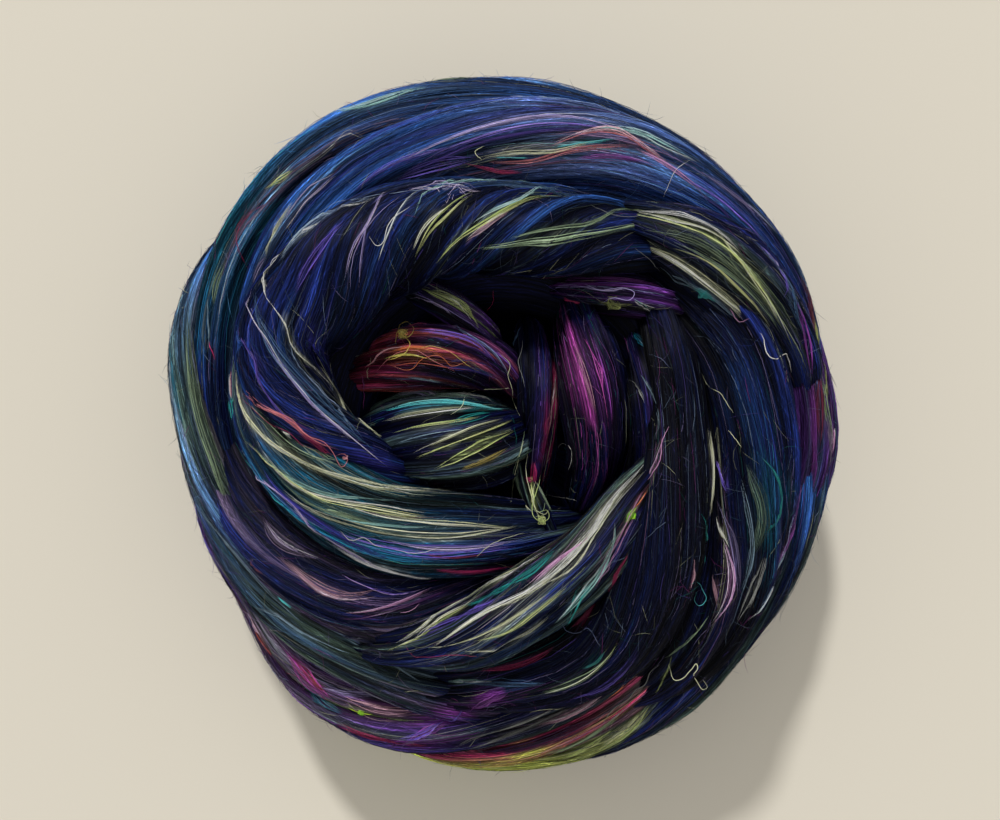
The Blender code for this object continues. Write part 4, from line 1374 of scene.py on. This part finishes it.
# Fibres lie at these section angles, in degrees. One sways this far sideways over this length, and
# ripples this high over this length.
FIBRE_ANGLES = (-45, 225)
FIBRE_SWAY = (0.2, 1.4)
FIBRE_SWAY_LENGTH = (8, 22)
FIBRE_RIPPLE = 0.08
FIBRE_RIPPLE_LENGTH = 5.0

# The mean and the spread of a fibre's brightness against its wool, as a power, and an odd one's share
# of its tint's brightness.
FIBRE_GLOW = (0.1, 0.75)
ODD_BRIGHTNESS = 0.7

# No fibre gives back more of the light than this.
BRIGHTEST = 0.9


def buried(points, own):
    """Whether each point lies inside a strand other than its own.

    It does where its places across and outwards from the nearest point of the strand's middle line, as
    shares of the two half sizes, have squares that add up to less than BURIED_SHARE, and the point is
    abreast of that line.
    """
    hidden = np.zeros(len(points), bool)
    for strand in ALL_STRANDS + filling_strands[:1]:
        if strand is own:
            continue
        rows = strand.rows[::4]
        away = points[:, None, :] - rows[None, :, 0:3]
        nearest = np.argmin(np.sum(away ** 2, axis=-1), axis=1)
        away = away[np.arange(len(points)), nearest]
        rows = rows[nearest]
        across = np.sum(away * rows[:, 3:6], axis=1) / rows[:, HALF_WIDTH]
        outward = np.sum(away * rows[:, 6:9], axis=1) / rows[:, HALF_THICK]
        along = np.sum(away * np.cross(rows[:, 6:9], rows[:, 3:6]), axis=1)
        hidden |= (across ** 2 + outward ** 2 < BURIED_SHARE) & (np.abs(along) < BURIED_ABREAST)
    return hidden


def threads(name, points, away, radius, colours, material):
    """Closed three-sided threads in one piece, each along its own row of points.

    A corner of a section is its point plus the radius times the cosine of the corner's angle away from
    the skin, plus the radius times its sine sideways. The radius shrinks to an eighth at both ends.
    """
    count, steps = points.shape[:2]
    along = unit(np.gradient(points, axis=1))
    away = unit(away - along * np.sum(away * along, axis=-1, keepdims=True))
    sideways = np.cross(along, away)
    corner = np.linspace(0, FULL_TURN, FIBRE_SIDES, endpoint=False) + 0.5 * math.pi
    ends = np.minimum(1, TIP_RADIUS + TIP_GROWTH * np.sin(np.linspace(0, math.pi, steps)))
    thick = (radius[:, None] * ends[None, :])[..., None, None]
    skin = points[:, :, None] + thick * (np.cos(corner)[:, None] * away[:, :, None]
                                         + np.sin(corner)[:, None] * sideways[:, :, None])
    skin[..., 2] = np.maximum(skin[..., 2], 0.5 * TABLE_CLEARANCE)
    first = (np.arange(count) * steps * FIBRE_SIDES)[:, None, None]
    ring = (np.arange(steps - 1) * FIBRE_SIDES)[None, :, None]
    side = np.arange(FIBRE_SIDES)[None, None, :]
    beside = (side + 1) % FIBRE_SIDES
    here, there = first + ring, first + ring + FIBRE_SIDES
    quads = np.stack((here + side, here + beside, there + beside, there + side), axis=-1).reshape(-1, 4)
    start = first[:, 0] + np.array((2, 1, 0))
    end = first[:, 0] + (steps - 1) * FIBRE_SIDES + np.array((0, 1, 2))
    tints = np.repeat(colours, steps * FIBRE_SIDES, axis=0)
    piece = raise_mesh(name, skin.reshape(-1, 3), quads, np.concatenate((start, end)), tints)
    piece.data.materials.append(material)
    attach(piece, "root")
    return piece


def fibre_finish(name, roughness, specular):
    """Fibres of one lustre, each in its own tint."""
    material = bpy.data.materials.new(name)
    material.use_nodes = True
    shader = material.node_tree.nodes["Principled BSDF"]
    shader.inputs["Roughness"].default_value = roughness
    shader.inputs["Specular IOR Level"].default_value = specular
    tint = material.node_tree.nodes.new("ShaderNodeAttribute")
    tint.attribute_name = "tint"
    material.node_tree.links.new(tint.outputs["Color"], shader.inputs["Base Color"])
    return material


WOOL_FIBRE = fibre_finish("wool_fibre", roughness=0.4, specular=0.18)
SILK_FIBRE = fibre_finish("silk_fibre", roughness=0.32, specular=0.5)


def lay_fibres(strands, counts, odd_share, seed):
    """Points, directions, radii and colours of the fibres of some strands.

    A fibre starts anywhere along its strand and runs on in one lane, which wanders by a slow sine. It
    is kept if at least two of three points along it lie outside the other strands. Its colour is the
    wool's there, lighter or darker by chance, or one of the odd tints.
    """
    draw = np.random.default_rng(seed)
    odds = np.array(list(ODD_AND_GLINT_FIBRES.values()))
    middle = FIBRE_POINTS // 2
    laid = []
    for strand, count in zip(strands, counts):
        tries = 2 * count
        span = np.minimum(0.9, draw.uniform(*FIBRE_RUN, tries) / strand.length)
        start = draw.uniform(0.0, 1.0, tries) * (1 - span)
        share = start[:, None] + span[:, None] * np.linspace(0, 1, FIBRE_POINTS)
        angle = np.radians(draw.uniform(*FIBRE_ANGLES, tries))
        lane = lane_of(strand, share[:, middle], angle)[:, None]
        sway = draw.uniform(*FIBRE_SWAY, (tries, 1)) / mean_radius(strand)
        beat = draw.uniform(0, FULL_TURN, (tries, 1))
        along = share * strand.length
        lane = lane + sway * np.sin(along / draw.uniform(*FIBRE_SWAY_LENGTH, (tries, 1)) + beat)
        ripple = FIBRE_RIPPLE * np.sin(along / FIBRE_RIPPLE_LENGTH + beat)
        lift = draw.uniform(*FIBRE_LIFT, (tries, 1)) + ripple
        points, away = on_skin(strand, share, lane, lift)
        outside = sum(~buried(points[:, number], strand) for number in (1, middle, FIBRE_POINTS - 2))
        kept = np.flatnonzero(outside >= 2)[:count]
        colours = paint(strand, share[kept, middle], lane[kept, middle])
        colours = colours * np.exp(draw.normal(*FIBRE_GLOW, (len(kept), 1)))
        odd = draw.uniform(0, 1, len(kept)) < odd_share
        chosen = draw.choice(len(odds), len(kept), p=odds / odds.sum())
        colours = np.where(odd[:, None], daylight(ODD_AND_GLINT_FIBRES)[chosen] * ODD_BRIGHTNESS, colours)
        thin = draw.uniform(*ODD_RADIUS, len(kept))
        radius = np.where(odd, thin, draw.uniform(*FIBRE_RADIUS, len(kept)))
        laid.append((points[kept], away[kept], radius, np.clip(colours, 0, BRIGHTEST)))
    return joined(laid)


def joined(laid):
    """The points, directions, radii and colours of several strands' threads, as one array of each."""
    return tuple(np.concatenate(part) for part in zip(*laid))


def share_out(strands, total):
    """A total shared out over strands by the area of each one's skin."""
    area = np.array([strand.length * mean_radius(strand) for strand in strands])
    return np.round(total * area / area.sum()).astype(int)


# A piece of fibres: its name, its strands, how many fibres, the share of odd ones, and its seed.
Fibres = namedtuple("Fibres", "name strands count odd_share seed")

for lot in (
    Fibres("low_fibres", low_strands[1:], 600, 0.05, 11),
    Fibres("outer_fibres", outer_strands, 2700, 0.06, 12),
    Fibres("crown_fibres", crown_strands, 3500, 0.05, 13),
    Fibres("crown_overlay", crown_strands, 1700, 0.08, 15),
    Fibres("tuck_fibres", tuck_strands, 1300, 0.08, 14),
):
    counts = share_out(lot.strands, lot.count)
    threads(lot.name, *lay_fibres(lot.strands, counts, lot.odd_share, lot.seed), WOOL_FIBRE)


# ---------------------------------------------------------------------------------- the silk locks
# Dyed silk lies in the wool in narrow locks. Its fibres are finer, straighter and brighter than the
# wool's, so a lock reads as one shining streak.

# The silk fibres of a streak would cover it this many times over. They lie in wisps, one to this
# much of the streak's width, spread over it by this share of it, and a wisp is this broad.
SILK_COVER = 1.15
SILK_WISP = 0.6
WISP_SPREAD = 0.3
WISP_BREADTH = 0.1

# Each fibre runs this far in millimetres, and reaches past the streak's ends by up to this share of
# its length. It is this thick, lies this high, and sways this far over this length.
SILK_RUN = (14.0, 38.0)
SILK_PAST = 0.11
SILK_RADIUS = (0.03, 0.065)
SILK_LIFT = (0.05, 0.5)
SILK_SWAY = (0.05, 0.25)
SILK_SWAY_LENGTH = 9.0

# The mean and the spread of a wisp's brightness, as a power, and the spread of its fibres' round it.
SILK_GLOW = (0.15, 0.5)
SILK_GLOW_SPREAD = 0.3


def lay_silk(strands, seed):
    """Points, directions, radii and colours of the silk fibres of some strands' streaks.

    A fibre runs over part of its streak, in one of the wisps that lie side by side across it. Some
    wisps are brighter than others. The streak is widest half way, and narrows to its ends by the root
    of a sine.
    """
    draw = np.random.default_rng(seed)
    laid = []
    for strand in strands:
        for streak, line in [lock for lock in strand.laid if lock[0].width < WOOL_LOCK]:
            length = length_along(on_skin(strand, line[:, 0], line[:, 1])[0])[-1]
            fibre_area = sum(SILK_RADIUS) * min(length, 0.5 * sum(SILK_RUN))
            count = int(4 + streak.strength * SILK_COVER * streak.width * length / fibre_area)
            span = np.minimum(0.85, draw.uniform(*SILK_RUN, count) / length)
            start = draw.uniform(-SILK_PAST, 1 + SILK_PAST - span)
            run = start[:, None] + span[:, None] * np.linspace(0, 1, FIBRE_POINTS)
            past = np.arange(1, 5)[:, None]
            line = np.concatenate((line[:1] - past[::-1] * (line[1] - line[0]), line,
                                   line[-1:] + past * (line[-1] - line[-2])))
            more = len(past) / (LINE_POINTS - 1)
            knots = np.linspace(-more, 1 + more, len(line))
            share, lane = np.interp(run, knots, line[:, 0]), np.interp(run, knots, line[:, 1])
            breadth = np.interp(run, knots, lane_breadth(strand, line[:, 0], line[:, 1]))
            wisps = max(2, int(streak.width / SILK_WISP))
            wisp = draw.integers(0, wisps, count)
            place = (draw.normal(0, WISP_SPREAD, wisps) * streak.width)[wisp][:, None]
            place = place + draw.normal(0, WISP_BREADTH, (count, 1))
            glow = draw.normal(*SILK_GLOW, wisps)[wisp][:, None]
            narrow = np.sqrt(np.sin(math.pi * np.clip(run, 0.03, 0.97)))
            sway = np.sin(run * length / SILK_SWAY_LENGTH + place * 9)
            sway = draw.uniform(*SILK_SWAY, (count, 1)) * sway
            lane = lane + (place * narrow + sway) / breadth
            points, away = on_skin(strand, share, lane, draw.uniform(*SILK_LIFT, (count, 1)))
            radius = draw.uniform(*SILK_RADIUS, count)
            colours = daylight((streak.tint,)) * np.exp(glow + draw.normal(0, SILK_GLOW_SPREAD, (count, 1)))
            laid.append((points, away, radius, np.clip(colours, 0, BRIGHTEST)))
    return joined(laid)


threads("outer_silk", *lay_silk(outer_strands, seed=21), SILK_FIBRE)
threads("crown_silk", *lay_silk(crown_strands, seed=22), SILK_FIBRE)
threads("tuck_silk", *lay_silk(tuck_strands, seed=23), SILK_FIBRE)


# ----------------------------------------------------------------------- frizz, neps and loose threads
# Short hairs stand off the wool everywhere and make its outline soft. Some lie across the combed
# fibres, small neps of curled silk sit between them, and a few threads have come loose.

# A loose thread: its tint, radius, height over the wool, and picture positions along it.
Loose = namedtuple("Loose", "tint radius lift path")

# A nep: its tint, its breadth, and its place in the picture.
Nep = namedtuple("Nep", "tint breadth x y")

LOOSE_THREADS = (
    Loose("grey", 0.09, 0.5, ((365, 140), (350, 130), (330, 150), (290, 178))),
    Loose("cream", 0.1, 0.6, ((484, 146), (475, 152), (482, 160))),
    Loose("white", 0.07, 0.5, ((690, 160), (676, 170), (668, 186), (663, 198))),
    Loose("white", 0.1, 0.7, ((369, 236), (372, 241), (378, 246), (383, 242), (386, 230), (390, 222),
                              (410, 206))),
    Loose("salmon", 0.1, 0.5, ((246, 390), (256, 400), (272, 410), (290, 418), (308, 436), (324, 442),
                               (334, 454), (342, 468), (349, 458), (342, 453), (334, 458))),
    Loose("crimson", 0.1, 0.4, ((240, 396), (254, 410), (270, 424), (288, 432), (304, 446), (318, 452),
                                (328, 464))),
    Loose("white", 0.07, 0.6, ((340, 530), (350, 540), (365, 538), (375, 545), (385, 548))),
    Loose("white", 0.07, 0.6, ((395, 550), (420, 553), (435, 549), (443, 546))),
    Loose("cream", 0.08, 0.6, ((475, 558), (490, 545), (500, 540), (525, 533))),
    Loose("pink", 0.08, 0.5, ((400, 613), (412, 610), (420, 603))),
    Loose("pink", 0.1, 0.8, ((669, 426), (662, 442), (660, 460), (648, 480))),
    Loose("slate", 0.09, 0.8, ((560, 615), (563, 625), (570, 633), (578, 633), (588, 628), (595, 638),
                               (601, 648))),
    Loose("crimson", 0.1, 0.5, ((405, 645), (412, 655), (430, 657), (450, 655), (485, 657))),
    Loose("cream", 0.07, 0.5, ((702, 374), (708, 386), (720, 393), (726, 402), (734, 414))),
    Loose("cream", 0.08, 0.5, ((728, 430), (734, 437), (742, 448))),
    Loose("turquoise", 0.08, 0.8, ((690, 585), (697, 582), (703, 590), (706, 600), (700, 606),
                                   (694, 600), (697, 592))),
    Loose("pink", 0.07, 0.5, ((730, 308), (740, 322), (750, 318))),
    Loose("white", 0.13, 1.2, ((760, 332), (764, 340), (765, 348), (770, 357), (777, 359), (785, 354),
                               (789, 360), (791, 373))),
    Loose("grey", 0.06, 0.5, ((635, 248), (650, 260), (660, 272))),
    Loose("cream", 0.13, 2.6, ((668, 664), (671, 672), (674, 680), (681, 679), (688, 673), (693, 668),
                               (697, 663), (698, 670), (694, 676), (698, 683), (702, 689), (706, 686),
                               (701, 677))),
    Loose("grey", 0.12, 0.8, ((660, 665), (650, 672), (645, 685), (635, 690), (630, 698), (615, 708),
                              (605, 720), (600, 735))),
    Loose("crimson", 0.1, 0.8, ((493, 290), (493, 302), (485, 313))),
    Loose("lilac", 0.1, 0.8, ((584, 284), (600, 290), (624, 288), (635, 293), (632, 299), (612, 298),
                              (600, 304))),
    Loose("white", 0.07, 0.6, ((640, 302), (648, 306), (655, 308))),
    Loose("gold", 0.12, 1.0, ((395, 345), (397, 332), (404, 322), (414, 328), (408, 337), (399, 334),
                              (403, 326))),
    Loose("gold", 0.12, 1.0, ((403, 335), (410, 343), (406, 352), (396, 358), (385, 360))),
    Loose("gold", 0.08, 0.6, ((410, 352), (430, 346), (450, 352), (466, 364), (480, 372))),
    Loose("orange", 0.09, 0.6, ((392, 366), (410, 370), (424, 358), (440, 356), (452, 366), (470, 360))),
    Loose("salmon", 0.07, 0.6, ((376, 372), (392, 356), (414, 350), (436, 362), (456, 372))),
    Loose("cream", 0.1, 0.8, ((510, 388), (500, 389), (475, 391), (465, 396), (463, 405), (455, 412),
                              (450, 415))),
    Loose("cream", 0.09, 1.0, ((500, 354), (510, 364), (508, 376), (512, 388), (514, 404), (520, 416))),
    Loose("grey", 0.09, 1.0, ((523, 340), (521, 352), (518, 362), (522, 375), (525, 388))),
    Loose("sage", 0.09, 1.0, ((525, 430), (521, 448), (514, 470), (512, 500))),
    Loose("cream", 0.09, 1.2, ((528, 450), (526, 470), (530, 492), (540, 520))),
    Loose("lime", 0.11, 1.2, ((541, 474), (537, 490), (532, 506), (534, 517), (542, 522), (549, 518),
                              (547, 510), (540, 512))),
    Loose("cream", 0.09, 1.2, ((536, 480), (533, 496), (538, 512), (546, 514), (550, 506), (543, 500))),
    Loose("sage", 0.08, 1.2, ((546, 482), (546, 498), (541, 512), (534, 510), (530, 500))),
    Loose("white", 0.07, 1.2, ((538, 490), (552, 496), (566, 498), (577, 501))),
    Loose("cream", 0.08, 1.2, ((524, 440), (518, 462), (513, 486), (511, 504))),
    Loose("white", 0.08, 1.2, ((558, 452), (561, 444), (568, 445), (572, 458), (568, 470))),
    Loose("slate", 0.07, 0.6, ((648, 354), (660, 358), (670, 368))),
    Loose("haze", 0.09, 0.6, ((642, 378), (652, 394), (658, 410), (658, 426), (654, 440))),
    Loose("magenta", 0.09, 0.8, ((362, 375), (364, 390), (363, 410))),
    Loose("grey", 0.06, 0.4, ((590, 205), (620, 216), (650, 214), (672, 206))),
    Loose("pale_blue", 0.06, 0.4, ((300, 226), (330, 206), (372, 196), (420, 190), (470, 187))),
    Loose("lilac", 0.06, 0.4, ((400, 196), (378, 214), (362, 236), (352, 262), (350, 290))),
)

NEPS = (
    Nep("gold", 2.6, 403, 334),
    Nep("lime", 2.4, 541, 520),
    Nep("bright_lime", 1.8, 361, 712),
    Nep("bright_lime", 1.6, 633, 516),
    Nep("teal", 3.0, 704, 293),
    Nep("olive", 3.6, 614, 303),
    Nep("crimson", 1.6, 529, 480),
    Nep("salmon", 1.4, 345, 457),
)

# A loose thread's points, how far each strays in the picture, how near it may come to the wool, and
# over how many points on each side its height is evened out.
LOOSE_POINTS = 41
LOOSE_JITTER = 0.3
LOOSE_CLOSEST = 0.15
LOOSE_EVENING = 4

# A nep's fibres, their points and radius, how fast they curl, in radians along them, how broad their
# curls are, as a share of the nep's breadth, how flat and how high over the wool they lie, and the
# spread of their brightness.
NEP_FIBRES = 16
NEP_POINTS = 21
NEP_RADIUS = (0.04, 0.08)
NEP_CURL = (4, 11)
NEP_SIZE = (0.4, 1.0)
NEP_FLATNESS = 0.45
NEP_LIFT = 0.3
NEP_GLOW_SPREAD = 0.4

# A stray hair's points, how far it runs, the section angles it starts at, in degrees, the spread of
# its slant to the fibres and of its curl, in radians and radians in a millimetre, how high it starts,
# and how many times the mean the highest one rises.
STRAY_POINTS = 5
STRAY_RUN = (3, 11)
STRAY_ANGLES = (-60, 240)
STRAY_SLANT = 0.7
STRAY_CURL = 0.1
STRAY_LIFT = 0.1
STRAY_HIGHEST = 4

# Its radius as a share of its piece's, how often it has another tint than its wool, how bright that
# is, and how much lighter than the wool it is otherwise.
STRAY_RADIUS = (0.6, 1.2)
STRAY_ODD = 0.45
STRAY_ODD_BRIGHTNESS = (0.15, 0.7)
STRAY_LIGHTER = 1.6


def skin_tree(pieces):
    """The pieces' faces as one tree that rays can be cast at, in millimetres."""
    points, faces, first = [], [], 0
    for piece in pieces:
        flat = np.empty(3 * len(piece.data.vertices), np.float32)
        piece.data.vertices.foreach_get("co", flat)
        points.append(flat.reshape(-1, 3) / MM)
        faces += [[first + corner for corner in face.vertices] for face in piece.data.polygons]
        first += len(points[-1])
    return BVHTree.FromPolygons(np.concatenate(points).tolist(), faces)


WOOL_TREE = skin_tree((low_turns, outer_turns, crown_turns, tucked_ends, filling))


def onto_wool(spots, lift):
    """Points where sight lines through picture positions meet the wool, raised towards the camera."""
    eye = Vector((CAMERA_X, CAMERA_Y, CAMERA_HEIGHT))
    found = []
    for x, y in spots:
        right, down = x - PICTURE_MIDDLE_X, y - PICTURE_MIDDLE_Y
        aim = Vector((CAMERA_X + right * TABLE_PIXEL, CAMERA_Y - down * TABLE_PIXEL, 0.0))
        sight = (aim - eye).normalized()
        place, _, _, far = WOOL_TREE.ray_cast(eye, sight)
        found.append(eye + sight * (far - lift) if place is not None else aim - sight * lift)
    return np.array(found)


def evened(points, reach):
    """Points along a line, each the mean of those up to reach places before and after it."""
    return running_mean(np.pad(points, ((reach, reach), (0, 0)), mode="edge"), reach)


def lay_loose(seed):
    """Points, directions, radii and colours of the loose threads.

    A thread follows a smooth curve through its picture positions over the wool, whose height is evened
    out along it.
    """
    draw = np.random.default_rng(seed)
    all_points = []
    for thread in LOOSE_THREADS:
        spots = np.array(thread.path, float)
        knots = length_along(spots)
        spots = smooth(knots / knots[-1], spots, np.linspace(0, 1, LOOSE_POINTS))
        spots = spots + draw.normal(0, LOOSE_JITTER, spots.shape)
        close = onto_wool(spots, LOOSE_CLOSEST)
        points = onto_wool(spots, thread.lift)
        points[:, 2] = np.maximum(evened(points[:, 2:], LOOSE_EVENING)[:, 0], close[:, 2])
        all_points.append(evened(points, 1))
    count = len(all_points)
    away = np.tile((0.0, 0.0, 1.0), (count, LOOSE_POINTS, 1))
    radii = np.array([thread.radius for thread in LOOSE_THREADS])
    return np.array(all_points), away, radii, daylight([thread.tint for thread in LOOSE_THREADS])


def lay_neps(seed):
    """Points, directions, radii and colours of the neps' fibres, each a curl inside a flat ball.

    Each place of a curl is its size times a sine of the way along it, with its own rate and start.
    """
    draw = np.random.default_rng(seed)
    all_points, all_colours = [], []
    way = np.linspace(0, 1, NEP_POINTS)[None, :, None]
    for nep in NEPS:
        middle = onto_wool(((nep.x, nep.y),), NEP_LIFT)[0]
        rate = draw.uniform(*NEP_CURL, (NEP_FIBRES, 1, 3))
        start = draw.uniform(0, FULL_TURN, (NEP_FIBRES, 1, 3))
        size = 0.5 * nep.breadth * draw.uniform(*NEP_SIZE, (NEP_FIBRES, 1, 3)) * (1, 1, NEP_FLATNESS)
        all_points.append(middle + size * np.sin(rate * way + start))
        colours = daylight((nep.tint,)) * np.exp(draw.normal(0, NEP_GLOW_SPREAD, (NEP_FIBRES, 1)))
        all_colours.append(np.clip(colours, 0, BRIGHTEST))
    points = np.concatenate(all_points)
    away = np.tile((0.0, 0.0, 1.0), points.shape[:2] + (1,))
    return points, away, draw.uniform(*NEP_RADIUS, len(points)), np.concatenate(all_colours)


def lay_strays(strands, counts, rise, radius, seed):
    """Points, directions, radii and colours of hairs that have worked loose from some strands.

    A hair starts on the skin, runs on at a slant to the fibres, curls by an even rate and rises by the
    square of the way along it. Most rise little, and a few rise several times as far.
    """
    draw = np.random.default_rng(seed)
    laid = []
    for strand, count in zip(strands, counts):
        tries = 3 * count
        run = draw.uniform(*STRAY_RUN, (tries, 1))
        way = np.linspace(0, 1, STRAY_POINTS)[None, :]
        slant = draw.normal(0, STRAY_SLANT, (tries, 1))
        slant = slant + draw.normal(0, STRAY_CURL, (tries, 1)) * run * way
        step = run / (STRAY_POINTS - 1)
        along = np.cumsum(step * np.cos(slant), axis=1) * draw.choice((-1, 1), (tries, 1))
        sideways = np.cumsum(step * np.sin(slant), axis=1)
        share = np.clip(draw.uniform(0.04, 0.96, (tries, 1)) + along / strand.length, 0, 1)
        angle = np.radians(draw.uniform(*STRAY_ANGLES, (tries, 1)))
        lane = lane_of(strand, share[:, :1], angle) + sideways / mean_radius(strand)
        high = np.minimum(draw.exponential(rise, (tries, 1)), STRAY_HIGHEST * rise)
        points, away = on_skin(strand, share, lane, STRAY_LIFT + high * way ** 2)
        kept = np.flatnonzero(~buried(points[:, 0], strand) & ~buried(points[:, -1], strand))[:count]
        own = paint(strand, share[kept, 0], lane[kept, 0]) * STRAY_LIGHTER
        chosen = daylight(ODD_AND_GLINT_FIBRES)[draw.integers(0, len(ODD_AND_GLINT_FIBRES), len(kept))]
        odd = draw.uniform(0, 1, (len(kept), 1)) < STRAY_ODD
        radii = draw.uniform(*STRAY_RADIUS, len(kept)) * radius
        colours = np.where(odd, chosen * draw.uniform(*STRAY_ODD_BRIGHTNESS, (len(kept), 1)), own)
        laid.append((points[kept], away[kept], radii, np.clip(colours, 0, BRIGHTEST)))
    return joined(laid)


threads("loose_threads", *lay_loose(seed=31), SILK_FIBRE)
threads("neps", *lay_neps(seed=32), SILK_FIBRE)

# A piece of stray hairs: its name, its strands, how many hairs, how high they rise on average, their
# radius, and its seed.
Frizz = namedtuple("Frizz", "name strands count rise radius seed")

for lot in (
    Frizz("outer_frizz", low_strands[1:] + outer_strands, 3000, 1.0, 0.045, 33),
    Frizz("crown_frizz", crown_strands + tuck_strands, 3800, 0.4, 0.036, 34),
):
    counts = share_out(lot.strands, lot.count)
    threads(lot.name, *lay_strays(lot.strands, counts, lot.rise, lot.radius, lot.seed), WOOL_FIBRE)
